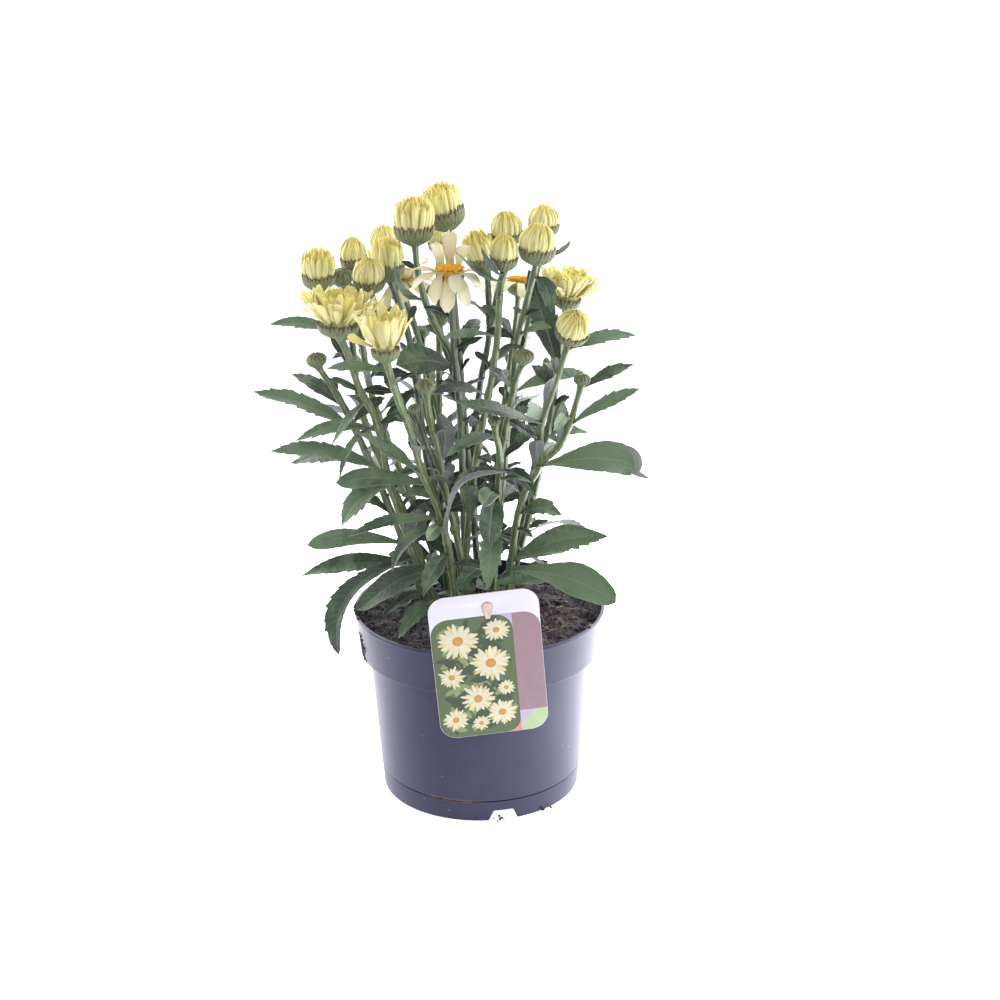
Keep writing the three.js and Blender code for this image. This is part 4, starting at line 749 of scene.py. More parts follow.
# Each stem's foot, its main shoot and its forks. A leaf is its height, tip, bend, width and form
STEMS = {
    "top_left": ((-10, 12), shoot((-11, 9, 200, -12, 2, 262, -13, -6, 307, -17, -10, 341, -27, -13, 361,
        -35, -14, 380, -41, -15, 405, -43, -15, 427), "brush", 14.2, 12, (0, -0.05, 1), (334, -57, -38,
        344, 0, 0, 8, 26), (385, -57, -20, 414, -12, 0, -12, 10), height=18.5),
        shoot((-13, -6, 307, -16, -19, 340, -17, -29, 374, -18, -35, 401), "daisy", 12, 7, (0, 0.06, 1),
        petal=10.5, petals=(-94, -76, 27, -126, -64, 22, -62, -60, 25, -150, -22, 24, -34, -30, 18, 178,
        2, 20, 0, -14, 13, 92, 80, 28, 122, 58, 22, 60, 56, 20, -78, -46, 16))),
    "top": ((2, 24), shoot((-3, 24, 190, -7, 24, 244, -11, 22, 300, -15, 21, 361, -18, 20, 400, -19, 20,
        430), "brush", 14.6, 13, (-0.28, 0, 1), (330, 2, 66, 350, 0, 0, 10, 11), height=18),
        shoot((-11, 22, 300, -22, 16, 338, -28, 10, 361), "green", 7.2, 9, (0, -0.3, 1))),
    "centre_right": ((-12, -4), shoot((-10, -6, 180, -6, -9, 230, 3, -14, 289, 11, -19, 331, 15, -23,
        362, 17, -27, 395, 20, -30, 411), "bud", 9.6, 9, (0, -0.1, 1), (406, 4, -50, 438, -4, -6, -6,
        9), (402, -14, -50, 428, 4, -8, -10, 9), (360, -24, -48, 366, 0, 0, 6, 7), (314, -30, -46, 325,
        0, 0, 10, 12), (244, -5, -46, 228, -4, -4, 16, 12), height=14.5)),
    "dark": ((-1, 36), shoot((-4, 35, 242, 2, 33, 306, 9, 31, 345, 9, 30, 375, 8, 30, 397), "brush",
        11.5, 10, (-0.3, -0.1, 1), (360, -11, 16, 378, 0, 0, 6, 8), height=18),
        shoot((9, 31, 345, 16, 32, 379, 22, 34, 402, 24, 36, 414), "bud", 11.6, 9, (-0.1, -0.1, 1),
        height=15)),
    "right_tall": ((13, 33), shoot((11, 33, 192, 21, 34, 264, 32, 37, 326, 40, 38, 361, 46, 39, 400, 50,
        40, 419), "bud", 11.4, 8.5, (0, 0, 1), (404, 69, 36, 416, 8, 0, -6, 7), (208, 35, 100, 209, 0,
        0, 18, 14), (300, 84, 64, 306, 0, 0, 12, 11), height=13.5)),
    "right": ((5, 10), shoot((6, 12, 159, 15, 7, 210, 22, -3, 285, 26, -7, 317, 29, -11, 353, 34, -14,
        375, 41, -19, 405, 43, -20, 413), "bud", 13, 11, (0.05, -0.1, 1), (402, 53, -28, 378, 6, 0, 10,
        11), (357, 58, -24, 366, 0, 0, 6, 8), (250, 42, -24, 240, 0, 0, 12, 11), height=16)),
    "far_right": ((20, 2), shoot((24, 5, 176, 29, 0, 214, 35, -4, 236, 46, -8, 260, 46, -13, 288, 55,
        -19, 320, 64, -24, 350, 67, -25, 358), "bud", 12.4, 10, (0.15, -0.55, 1), (349, 112, -22, 368,
        0, 0, 8, 10), (334, 38, 4, 402, 0, 8, 0, 18), (292, -23, -58, 326, 4, -20, 6, 14), (256, 125,
        -28, 262, 4, 0, 14, 24, "round"), (216, 62, -12, 220, 0, 0, 12, 14), (176, 97, 0, 198, 0, 0, 14,
        19), (170, 101, -36, 159, 6, 0, 14, 23, "round"), height=14.5),
        shoot((46, -8, 260, 58, -7, 270, 66, -6, 284, 73, -7, 308, 76, -8, 320), "green", 5.8, 7, (0.1,
        -0.2, 1), (287, 118, -12, 317, 0, 0, 6, 10), (315, 114, 0, 332, 0, 0, 5, 9), (271, 62, -14, 308,
        4, 0, 0, 10))),
    "left": ((-30, -2), shoot((-39, -8, 165, -51, -14, 198, -60, -19, 231, -66, -23, 254, -69, -28, 282,
        -75, -33, 307, -84, -37, 328, -91, -40, 352, -97, -42, 367), "half", 14.5, 9, (0.05, 0, 1),
        (292, -131, -34, 287, 0, 0, 14, 10), (258, -149, -36, 280, 0, 0, 16, 13), (297, -99, -54, 264,
        -8, -6, 16, 5), (247, -100, -32, 221, -6, 0, 14, 15), (188, -105, -42, 122, -40, -10, 24, 14),
        (158, -72, -44, 153, 0, 0, 10, 8), (151, -60, -58, 150, 0, 0, 10, 11), (322, -106, -36, 334, 0,
        0, 4, 6), (316, -104, -46, 288, 0, 0, 8, 6), height=21, petal=8, reach=26, layers=(11, 6))),
    "front_left": ((-17, -14), shoot((-23, -28, 203, -30, -38, 238, -39, -47, 264, -43, -52, 280, -48,
        -60, 303, -57, -72, 335, -62, -80, 359), "half", 9.6, 8.5, (-0.05, 0, 1), (350, -103, -74, 352,
        0, 0, 5, 8), (262, -84, -64, 302, 0, 0, 4, 14), (255, -102, -46, 259, 0, 0, 10, 14, "round"),
        (226, -94, -58, 222, 0, 0, 12, 9), (220, -63, -64, 197, -10, -8, 18, 9), (182, -89, -63, 167, 0,
        0, 18, 18, "round"), (196, -41, -62, 177, 0, -4, 14, 12), (206, 13, -56, 279, -24, -8, 34, 19),
        height=18, petal=7.5, petals=(-92, 82, 20, -50, 74, 22, -12, 66, 22, 28, 72, 24, 64, 78, 26, 96,
        80, 27, 126, 74, 25, 158, 66, 24, -134, 72, 22, -172, 33, 19))),
    "front_buds": ((-8, -13), shoot((-12, -16, 180, -18, -22, 215, -24, -30, 246, -29, -42, 285, -33,
        -50, 305, -36, -58, 331), "green", 6.4, 8, (0, -0.4, 1), (270, -27, -50, 312, 8, 0, 0, 13)),
        shoot((-24, -30, 246, -32, -39, 272, -40, -49, 300, -44, -54, 314), "green", 4, 5.5, (-0.2,
        -0.3, 1))),
    "left_pair": ((-23, 12), shoot((-32, 12, 220, -40, 10, 270, -43, 9, 304, -49, 7, 350, -56, 5, 376,
        -62, 5, 396), "brush", 11.8, 10.5, (-0.1, 0, 1), (320, -74, -6, 327, 0, 0, 6, 8), (310, -68, -8,
        290, 0, 0, 10, 8), height=18),
        shoot((-40, 10, 270, -52, 2, 294, -61, -5, 322, -67, -10, 348, -71, -13, 377, -75, -15, 392),
        "bud", 11.3, 9.5, (-0.05, -0.15, 1), height=14.5)),
    "outer_left": ((-36, 16), shoot((-52, 20, 200, -70, 20, 245, -84, 20, 284, -90, 20, 318, -96, 20,
        340, -106, 20, 362, -114, 20, 386), "brush", 12.3, 11, (0, -0.05, 1), (352, -152, 30, 357, 0, 0,
        8, 10), (168, -136, 22, 160, 0, 0, 14, 14), height=17),
        shoot((-90, 20, 318, -92, 26, 345, -97, 33, 370, -99, 36, 385), "green", 7.7, 12, (0.1, -0.3,
        1))),
    "back_left": ((-24, 30), shoot((-50, 36, 215, -68, 40, 262, -80, 43, 300, -86, 46, 340, -89, 49,
        370, -90, 50, 392), "bud", 9.8, 10, (-0.05, 0, 1), (215, -99, 84, 221, 0, 0, 14, 14), (268,
        -128, 72, 280, 0, 0, 10, 12), (318, -120, 92, 334, 0, 0, 8, 10), height=14)),
    "back_centre": ((-10, 32), shoot((-22, 42, 215, -36, 47, 270, -49, 53, 330, -58, 57, 368, -65, 60,
        399), "bud", 10.8, 9.5, (-0.2, 0.1, 1), (222, -58, 102, 226, 0, 0, 18, 14), (290, -84, 104, 300,
        0, 0, 12, 12), height=14.5)),
    "right_half_open": ((22, 20), shoot((38, 24, 205, 52, 26, 270, 59, 27, 313, 63, 29, 351, 66, 30,
        367), "half", 10, 8, (0.15, 0, 1), (270, 84, 40, 267, 0, 0, 6, 8), height=15, petal=7.5,
        reach=23, layers=(9, 4))),
    "left_bud": ((-41, 3), shoot((-58, -2, 200, -78, -8, 258, -92, -13, 295, -103, -17, 320, -110, -20,
        332, -114, -20, 339), "green", 7, 9, (-0.15, -0.1, 1), (288, -160, -26, 322, 0, 0, 10, 15),
        (304, -139, 6, 324, 0, 0, 8, 10), (262, -140, 14, 254, 0, 0, 12, 13), (194, -128, -6, 196, 0, 0,
        11, 13, "round"), (334, -121, -22, 352, -4, 0, 0, 6))),
    "centre_buds": ((10, -6), shoot((12, -10, 200, 16, -18, 261, 22, -24, 302, 28, -36, 333, 33, -42,
        346), "green", 7.2, 9, (0.05, -0.1, 1), (282, -28, -58, 284, 0, 0, 14, 9), (238, -7, -52, 240,
        0, 0, 10, 14, "round"), (232, 2, -54, 220, -2, -4, 22, 16, "round"), (214, 6, -50, 176, 0, -14,
        18, 15), (180, -17, -48, 174, 0, 0, 12, 12)),
        shoot((16, -18, 261, 15, -30, 280, 13, -42, 292, 12, -47, 302), "green", 4.3, 6, (0, -0.2, 1))),
    "pale": ((-13, 22), shoot((-20, 26, 230, -29, 28, 286, -42, 32, 340, -50, 36, 366, -54, 35, 382),
        "daisy", 11, 7, (-0.1, -0.2, 1), petal=8.5, reach=26, layers=(12,)),
        shoot((-29, 28, 286, -28, 38, 335, -27, 46, 380, -28, 50, 406), "bud", 6.8, 7, (0, 0, 1),
        height=9)),
    "back_daisy": ((6, 45), shoot((12, 51, 210, 21, 61, 287, 29, 67, 341, 32, 70, 368), "daisy", 11, 7,
        (0.05, 0.15, 1), (190, 22, 112, 186, 0, 0, 20, 15), (262, 50, 116, 276, 0, 0, 12, 12),
        petal=8.5, reach=26, layers=(12,))),
    "back_bud_left": ((-22, 44), shoot((-30, 60, 220, -38, 74, 290, -42, 80, 333), "green", 6.2, 8, (0,
        0.2, 1), (182, -64, 100, 172, 0, 0, 20, 14), (262, -56, 130, 280, 0, 0, 10, 11))),
    "back_bud_right": ((23, 35), shoot((40, 52, 220, 54, 65, 290, 60, 71, 328), "green", 6, 8, (0.2,
        0.2, 1), (180, 88, 86, 170, 0, 0, 22, 14), (250, 44, 140, 262, 0, 0, 12, 12), (300, 72, 112,
        322, 0, 0, 6, 9))),
}


def spread_numbers(seed):
    """Numbers spread evenly from 0 to 1, the same as the solid model's."""
    state = seed

    def draw():
        nonlocal state
        state = (state + 0x6D2B79F5) & 0xFFFFFFFF
        mixed = ((state ^ (state >> 15)) * (state | 1)) & 0xFFFFFFFF
        mixed ^= (mixed + (mixed ^ (mixed >> 7)) * (mixed | 61)) & 0xFFFFFFFF
        return ((mixed ^ (mixed >> 14)) & 0xFFFFFFFF) / 4294967296

    return draw


def unit(vectors):
    return vectors / np.linalg.norm(vectors, axis=-1, keepdims=True)


def line_at(points, shares):
    """Places on the smooth line through points. shares run from 0 at its start to 1 at its end."""
    last = len(points) - 1
    place = np.atleast_1d(shares) * last
    first = np.minimum(place.astype(int), last - 1)
    w = (place - first)[:, None]
    padded = np.concatenate([[2 * points[0] - points[1]], points, [2 * points[-1] - points[-2]]])
    before, start, end, after = (padded[first + k] for k in range(4))
    leave, arrive = 0.5 * (end - before), 0.5 * (after - start)
    return (start + leave * w + (3 * (end - start) - 2 * leave - arrive) * w**2
            + (2 * (start - end) + leave + arrive) * w**3)


def even_shares(points, step):
    """Shares that lie a step apart along the line, or a little less, and the line's length."""
    shares = np.linspace(0, 1, 201)
    steps = np.linalg.norm(np.diff(line_at(points, shares), axis=0), axis=1)
    lengths = np.concatenate([[0], np.cumsum(steps)])
    count = math.ceil(lengths[-1] / step)
    return np.interp(np.linspace(0, 1, count + 1) * lengths[-1], lengths, shares), lengths[-1]


def point_at_height(points, height):
    places = line_at(points, np.linspace(0, 1, 40 * (len(points) - 1) + 1))
    high_enough = places[1:, 2] >= height
    above = 1 + int(np.argmax(high_enough)) if high_enough.any() else len(places) - 1
    low, high = places[above - 1], places[above]
    return low + (high - low) * min(1, (height - low[2]) / (high[2] - low[2]))


def outline_of(shares, form):
    base, widest, blunt = FORMS[form]
    rise = shares / widest
    fall = np.clip((shares - widest) / (1 - widest), 0, 1)
    rising = base + (1 - base) * rise * rise * (3 - 2 * rise)
    return np.where(shares < widest, rising, (1 - fall * fall) ** blunt)


def blade_frames(spec, shares):
    """Middle points of a blade, and unit vectors along it, across it and out of its face."""
    s = shares[:, None]
    root, tip = spec["root"], spec["tip"]
    control = (root + tip) / 2 + spec["bend"]
    at = (1 - s) ** 2 * root + 2 * s * (1 - s) * control + s**2 * tip
    along = unit((1 - s) * (control - root) + s * (tip - control))
    left = unit(np.cross(spec.get("up", (0.0, 0.0, 1.0)), tip - root))
    side = unit(left - along * (along @ left)[:, None])
    turn = ((spec.get("roll", 0) + spec.get("twist", 0) * shares) * np.minimum(1, 4 * shares))[:, None]
    side = side * np.cos(turn) + np.cross(along, side) * np.sin(turn)
    return at, along, side, np.cross(along, side)


def blade_points(spec, start):
    rows = math.ceil(np.linalg.norm(spec["tip"] - spec["root"]) / 5)
    shares = np.arange(math.ceil(rows * start), rows + 1) / rows
    at, _, side, face = blade_frames(spec, shares)
    half = spec["width"] / 2 * outline_of(shares, spec["form"])
    return np.array([at[k] + side[k] * column * half[k] + face[k] * abs(column) * spec["fold"] * half[k]
                     for k in range(len(shares))
                     for column in ((-1, -0.5, 0, 0.5, 1) if half[k] > 6 else (-1, 0, 1))])


taken = {"at": [], "room": [], "owner": []}


def take(points, room, owner=-1):
    taken["at"] += list(points)
    taken["room"] += [room] * len(points)
    taken["owner"] += [owner] * len(points)


def is_free(points, room, owner):
    out = np.hypot(points[:, 0], points[:, 1])
    top = np.where(out > BODY_TOP_RADIUS, POT_HEIGHT, SOIL_CROWN)
    over_pot = (out < RIM_RADIUS + LEAF_OVER) & (points[:, 2] < top + LEAF_OVER)
    over_label = ((abs(points[:, 0] - LABEL_MIDDLE) < LABEL_ROOM) & (points[:, 1] < -LABEL_NEAR)
                  & (points[:, 2] < LABEL_OVER))
    if over_pot.any() or over_label.any():
        return False
    others = np.array(taken["owner"]) != owner
    reach = room + np.array(taken["room"])[others]
    away = points[:, None] - np.array(taken["at"])[others][None]
    return bool(((away**2).sum(axis=-1) > reach**2).all())


def settle(branch, spec, room):
    """Gives a shoot the blade, turned a little aside or up until it is clear, if it finds room."""
    for aside, lift in TURNS:
        way = spec["tip"] - spec["root"]
        heading = math.atan2(way[1], way[0]) + math.radians(aside)
        slope = math.atan2(way[2], math.hypot(way[0], way[1])) + math.radians(lift)
        tip = np.array((*around(math.cos(slope), heading), math.sin(slope)))
        tip = spec["root"] + np.linalg.norm(way) * tip
        bend = np.array(Matrix.Rotation(math.radians(aside), 3, "Z")) @ spec["bend"]
        turned = {**spec, "tip": tip, "bend": bend}
        if is_free(blade_points(turned, 0.3), room, branch["owner"]):
            take(blade_points(turned, 0.1), room)
            branch["blades"].append(turned)
            return


def leaf_spec(root, tip, bend, breadth, form, twist):
    """A leaf's blade. planned is the tip as given, before the leaf turns aside for others."""
    heading = math.atan2(tip[1] - root[1], tip[0] - root[0])
    facing = math.radians(-LEAF_FACING if root[1] > BACK_FROM else LEAF_FACING)
    return dict(root=root, tip=np.array(tip, float), bend=np.array(bend, float), width=breadth * LEAF_BREADTH,
                form=form, fold=LEAF_FOLD, roll=facing * math.cos(heading), twist=twist, planned=tuple(tip))


def head_at(head, height, radius=0, turn=0):
    """Points on a head, at heights up its axis and turns round it. Any of the three may be an array."""
    height, radius, turn = (np.asarray(v, float)[..., None] for v in (height, radius, turn))
    return (head["base"] + head["axis"] * height + head["across"] * radius * np.cos(turn)
            + head["deep"] * radius * np.sin(turn))


def petal_spec(head, start, turn, slope, length):
    turn, slope = np.float64(turn), math.radians(slope)
    foot = head["cup"] + 2
    rise, bulge = (5, 0) if head["kind"] == "daisy" else (0, 3.5)
    return dict(root=head_at(head, foot, start, turn), width=head["petal"], form="ray", fold=0.12,
                tip=head_at(head, foot + length * math.sin(slope), start + length * math.cos(slope), turn),
                bend=head_at(head, rise, bulge, turn) - head["base"], up=head["axis"])


def petal_specs(head, draw):
    radius, is_open = head["radius"], head["kind"] == "daisy"
    specs = [petal_spec(head, radius * (0.88 if abs(slope) > 40 else 0.84), math.radians(turn), slope, length)
             for turn, slope, length in np.reshape(head.get("petals", ()), (-1, 3))]
    for layer, count in enumerate(head.get("layers", ())):
        for i in range(count):
            turn = (i + layer * 0.4 + 0.3 * draw()) * 2 * math.pi / count
            slope = -6 - 30 * draw() if is_open else 46 + layer * 16 + 10 * draw()
            length = head["reach"] * (1 - layer * 0.08 - 0.12 * draw())
            specs.append(petal_spec(head, radius * (0.84 if is_open else 0.7) - layer * radius * 0.15, turn,
                                    slope, length))
    return specs


def grow():
    """Stems and heads stand first, so that all later blades can keep clear of them."""
    draw = spread_numbers(PLANT_SEED)
    for branch in SHOOTS:
        shares, _ = even_shares(branch["points"], STEP_ALONG)
        take(line_at(branch["points"], shares), STEM_ROOM, branch["owner"])
    for branch in SHOOTS:
        head = branch["head"]
        axis = unit(np.array(head["lean"], float))
        across = unit(np.array((1.0, 0, 0)) - axis * axis[0])
        head.update(base=branch["points"][-1], axis=axis, across=across, deep=np.cross(axis, across))
        take([head_at(head, head["cup"] * 0.5)], head["radius"] + 1)
        if "height" in head:
            take([head_at(head, head["cup"] + head["height"] * 0.5)], head["radius"] + 1)
    for branch in SHOOTS:
        branch["head"]["specs"] = petal_specs(branch["head"], draw)
    for branch in SHOOTS:
        for leaf in branch["leaves"]:
            root = point_at_height(branch["points"], leaf[0])
            form = "round" if "round" in leaf else "lance"
            twist = LEAF_TWIST * (draw() - 0.5)
            settle(branch, leaf_spec(root, leaf[1:4], leaf[4:7], leaf[7], form, twist), LEAF_ROOM)


def grow_leaflets():
    """Smaller leaves up the stems and in their axils, wherever there is room between the others."""
    rng = random.Random(LEAFLET_SEED)
    for branch in SHOOTS:
        points = branch["points"]
        low, high = max(points[0][2], STEM_START - 2), points[-1][2] - 18
        height, turn = low + rng.uniform(4, 14), rng.uniform(0, 2 * math.pi)
        while height < high:
            share = (height - STEM_START) / 280
            length = rng.uniform(24, 50) * (1.12 - 0.72 * share) * rng.choice((0.7, 1, 1.1))
            rise = rng.uniform(-0.35, 0.95) + share * 0.5
            root = point_at_height(points, height)
            tip = root + (*around(length * math.cos(rise), turn), length * math.sin(rise))
            breadth = length * rng.uniform(0.2, 0.32)
            bend = (0, 0, length * rng.uniform(0.05, 0.35))
            form = rng.choice(("lance", "lance", "round"))
            settle(branch, leaf_spec(root, tip, bend, breadth, form, rng.uniform(-0.9, 0.9)), LEAFLET_ROOM)
            turn += 2.4 + rng.uniform(-0.7, 0.7)
            height += rng.uniform(9, 26)


SHOOTS = []
for owner, (name, (foot, *branches)) in enumerate(STEMS.items()):
    for number, branch in enumerate(branches, 1):
        buried = [(*foot, HOLE_BOTTOM), (*foot, STEM_START)] if number == 1 else []
        points = np.array([*buried, *np.reshape(branch["path"], (-1, 3))], float)
        SHOOTS.append(dict(branch, stem=name, number=number, owner=owner, points=points, blades=[]))
grow()
grow_leaflets()

# Stems: ribbed green herb stems, a little thicker where a leaf or a head grows. Each one carries
# its leaves and the green cups of its heads, so they are made here as one piece for each stem.
STEM_TURNS, STEM_RIBS = 16, 5
STEM, LEAF_TOP, LEAF_UNDER, BRACT, BUD_BRACT = range(5)


def put_stem(skin, branch, rng):
    shares, length = even_shares(branch["points"], STEP_ALONG)
    route = line_at(branch["points"], shares)
    thick = FORK_RADIUS if branch["number"] > 1 else STEM_RADIUS
    radii = 1.04 * (thick + (STEM_TIP_RADIUS - thick) * shares)
    for leaf in branch["blades"]:
        radii *= 1 + 0.16 * np.exp(-(np.linalg.norm(route - leaf["root"], axis=1) / 3.5) ** 2)
    radii *= 1 + 0.55 * np.exp(-((1 - shares) * length / 6) ** 2)
    put_tube(skin, route, radii, STEM_TURNS, STEM_RIBS, 0.08, rng.uniform(0, 1), STEM)


def herb_stem():
    """A living stem: grey-green skin with paler raised ribs, under fine down that shows at its edges."""
    skin = new_finish("herb_stem")
    rib = skin.math("COSINE", skin.math("MULTIPLY", skin.marks()[0], STEM_RIBS * 2 * math.pi))
    streak_place = skin.add("Mapping", {"Vector": skin.place(), "Scale": (600, 600, 60)}).outputs[0]
    level = skin.math("MULTIPLY_ADD", rib, 0.16, skin.noise(1, 3, at=streak_place))
    # Painted shade: the second ramp is a darker, bluer shaded copy of the stem colour, and stems whose random
    # tone is above a half blend towards it
    light, dark = (skin.ramp(level, (0.25, 0.6, 0.85), colours) for colours in (
        ("#4a5d38", "#67774a", "#92a074"), ("#313f31", "#4a5b46", "#788a6c")))
    colour = skin.mix(skin.span(skin.tone(), 0.5, 1.0, 0, 1), light, dark)
    return skin.finish(Base_Color=colour, Roughness=0.45, Sheen_Weight=0.12)


# Leaves: thin dark blue-green blades with a grooved midrib and coarse teeth that point forward. The
# upper side is a little glossy, and the underside is dull and silvery where an edge curls up.
# Where the points of a leaf lie, from the midrib, at 0, out to the edge, at 1
HALF_COLUMNS = {"long": (0.1, 0.32, 0.58, 0.82, 1), "curled": (0.1, 0.3, 0.44, 0.58, 0.72, 0.86, 1),
                "short": (0.12, 0.6, 1)}
# The leaves with a curled edge, by their tip: which side curls, from what share of the length, how far
CURLED_LEAVES = {(-105, -42, 122): (1, 0.1, 2.5), (97, 0, 198): (1, 0.2, 2.6),
                 (-63, -64, 197): (1, 0.2, 2.4), (13, -56, 279): (-1, 0.35, 2.2),
                 (-99, 84, 221): (1, 0.3, 1.8)}
RARE_CURL = 0.14
LEAF_BODY, RIB_DEPTH, GROOVE_DEPTH = 0.42, 0.7, 0.3
# The broad leaf that hangs beside the pot: its tip, how much broader it is than others, and its tone
HANGING_LEAF, HANGING_BREADTH, HANGING_TONE = (-105, -42, 122), 1.25, 0.4
# The big leaf on the right ends bluntly: its end is folded over and shows two strips of the underside
FOLDED_LEAF, FOLDED_FROM, FOLDED_SHARE = (125, -28, 262), 108, 0.5
FOLDS = (((105, -29.5, 279, 111, -31.5, 277, 115, -32.5, 272, 116.3, -33, 266, 114.5, -32.5, 261,
           109, -31, 258.5), (0.4, 2.0, 2.9, 3.0, 2.6, 0.5)),
         ((107, -30.5, 261.5, 113, -32, 260, 119, -31.5, 257, 125, -30, 254), (0.6, 2.2, 1.8, 0.25)))


def sheet_faces(rows, columns):
    index = np.arange(rows * columns).reshape(rows, columns)
    a, b, c, d = index[:-1, :-1], index[1:, :-1], index[:-1, 1:], index[1:, 1:]
    top = np.stack([a, b, d, c], -1).reshape(-1, 4)
    edge = np.concatenate([index[:-1, 0], index[-1, :-1], index[:0:-1, -1], index[0, :0:-1]])
    after, size = np.roll(edge, -1), rows * columns
    return top, top[:, ::-1] + size, np.stack([after, edge, edge + size, after + size], -1)


def put_sheet(skin, top, under, across, run, tone, finish, under_finish=None):
    """A thin closed blade between two grids of points. across and run are its marks."""
    upper, lower, rim = sheet_faces(*top.shape[:2])
    finishes = np.full(len(upper) + len(lower) + len(rim), finish)
    if under_finish is not None:
        finishes[len(upper) : len(upper) + len(lower)] = under_finish
    marks = np.stack(np.broadcast_arrays(across, run), -1).reshape(-1, 2)
    skin.put(np.concatenate([top.reshape(-1, 3), under.reshape(-1, 3)]), np.concatenate([upper, lower, rim]),
             np.concatenate([marks, marks]), tone, finishes)


def spread(at, side, face, aside, lift):
    """A grid of points: each row's middle point moved by the row's numbers across it and out of it."""
    return at[:, None] + side[:, None] * aside[..., None] + face[:, None] * lift[..., None]


def put_fold(skin, route, half):
    shares = np.linspace(0, 1, 14)
    at = line_at(np.reshape(route, (-1, 3)), shares)
    half = np.interp(shares, np.linspace(0, 1, len(half)), half)[:, None]
    side = unit(np.cross(np.gradient(at, axis=0), (0.0, -1.0, 0.2)))
    c = np.array([-1, -0.5, 0, 0.5, 1])[None, :]
    face = np.broadcast_to((0, -1, 0.2), at.shape)
    top = spread(at, side, face, half * c, 0.3 * half * (1 - c**2))
    put_sheet(skin, top, top + (0, 0.5, 0), c, shares[:, None], 0.9, LEAF_UNDER)


def tooth_line(rng, teeth, offset):
    """How far a leaf's edge reaches along its length: flat low down, then teeth that point forward."""
    knots, reach = [0, 0.26, 1], [1, 1, 1]
    pitch = 0.66 / max(teeth, 1)
    for k in range(teeth):
        tip = 0.3 + (k + 0.6 + offset + rng.uniform(-0.2, 0.2)) * pitch
        if tip > 0.955:
            break
        bite = rng.uniform(0.07, 0.17)
        knots += [tip - 0.72 * pitch, tip, tip + 0.08 * pitch]
        reach += [1 - bite * 0.7, 1 + bite * 0.7, 1 - bite]
    order = np.argsort(knots)
    return np.array(knots)[order], np.array(reach)[order]


def put_leaf(skin, spec, rng):
    length = float(np.linalg.norm(spec["tip"] - spec["root"]))
    out = math.hypot(spec["tip"][0], spec["tip"][1] - 30) / 130
    teeth = 0 if spec["form"] == "round" or length < 16 else max(2, round(length / 12))
    lines = [tooth_line(rng, teeth, 0), tooth_line(rng, teeth, 0.4)]
    shares = np.concatenate([np.linspace(0, 1, max(9, round(length / 3.4))), lines[0][0], lines[1][0]])
    shares = np.unique(np.round(shares, 4))
    at, along, side, face = blade_frames(spec, shares)
    half = np.maximum(0.35, spec["width"] / 2 * outline_of(shares, spec["form"]))[:, None]
    if spec["planned"] == HANGING_LEAF:
        half = HANGING_BREADTH * spec["width"] / 2 * outline_of(shares, "round")[:, None]
    if spec["planned"] == FOLDED_LEAF:
        beyond = np.maximum(at[:, 0] - FOLDED_FROM, 0)
        at[:, 0] -= (1 - FOLDED_SHARE) * beyond
        for route, widths in FOLDS:
            put_fold(skin, route, widths)
    curl = CURLED_LEAVES.get(spec["planned"])
    if curl is None and rng.random() < RARE_CURL:
        curl = rng.choice((-1, 1)), rng.uniform(0.2, 0.6), rng.uniform(0.8, 2.2)
    columns = HALF_COLUMNS["curled" if curl else "long" if length > 30 else "short"]
    c = np.array([*(-x for x in reversed(columns)), 0, *columns])[None, :]
    left, right_hand = (np.interp(shares, *line)[:, None] for line in lines)
    tooth = np.where(c < 0, left, right_hand)
    reach = c * (1 + (tooth - 1) * np.abs(c) ** 4)
    s = shares[:, None]
    wave = s * rng.uniform(7, 13) + np.sign(c) * rng.uniform(0.4, 1.6) + rng.uniform(0, 6)
    wave = 0.12 * np.sin(wave) * c**2
    wave += 0.04 * np.sin(s * length * 1.1 + c * 2.5 + rng.uniform(0, 6)) * np.abs(c)
    cupped = spec["fold"] * rng.uniform(0.7, 1.4)
    droop = rng.uniform(-0.16, 0.5) * np.clip((s - 0.5) / 0.5, 0, 1) ** 2
    aside = reach * half
    up = (cupped * np.abs(c) ** 1.3 * (1 - 0.3 * s) + wave) * half - droop * half * 1.3
    forward = (tooth - 1) * 6 * np.abs(c) ** 4
    bent = np.zeros_like(up)
    if curl:
        curl_side, start, turn = curl
        rolled = np.clip((c * curl_side - 0.3) / 0.7, 0, 1)
        bent = turn * np.clip((s - start) / (0.75 - 0.5 * start), 0, 1) * rolled + 1e-4 * rolled
        loose = np.where(rolled > 0, bent / np.maximum(rolled, 1e-4), 1)
        aside = np.where(rolled > 0, curl_side * half * (0.3 + 0.7 * np.sin(bent) / loose), aside)
        up = up + np.where(rolled > 0, 0.7 * half * (1 - np.cos(bent)) / loose, 0)
    top = spread(at, side, face, aside, up) + along[:, None] * forward[..., None]
    turned = face[:, None] * np.cos(bent)[..., None] - side[:, None] * (np.sign(c) * np.sin(bent))[..., None]
    taper = 1 - 0.75 * s
    groove = np.where(np.abs(c) < 0.05, GROOVE_DEPTH, 0) * taper
    ridge = np.where(np.abs(c) < 0.05, RIB_DEPTH, np.where(np.abs(c) < 0.2, 0.1, 0)) * taper
    body = LEAF_BODY * (1 - 0.45 * np.abs(c)) * np.ones_like(half)
    # Painted light and shade: a leaf is made lighter the farther its tip lies from the middle of the plant, a
    # little behind its axis, and lighter still on the right, with a random share added
    tone = min(1, max(0, 0.75 * out + (0.15 if spec["tip"][0] > 50 else 0) + rng.uniform(-0.25, 0.3)))
    if spec["planned"] == HANGING_LEAF:
        tone = HANGING_TONE
    put_sheet(skin, top - turned * groove[..., None], top - turned * (body + ridge)[..., None], c,
              s * length / 100, tone, LEAF_TOP, LEAF_UNDER)


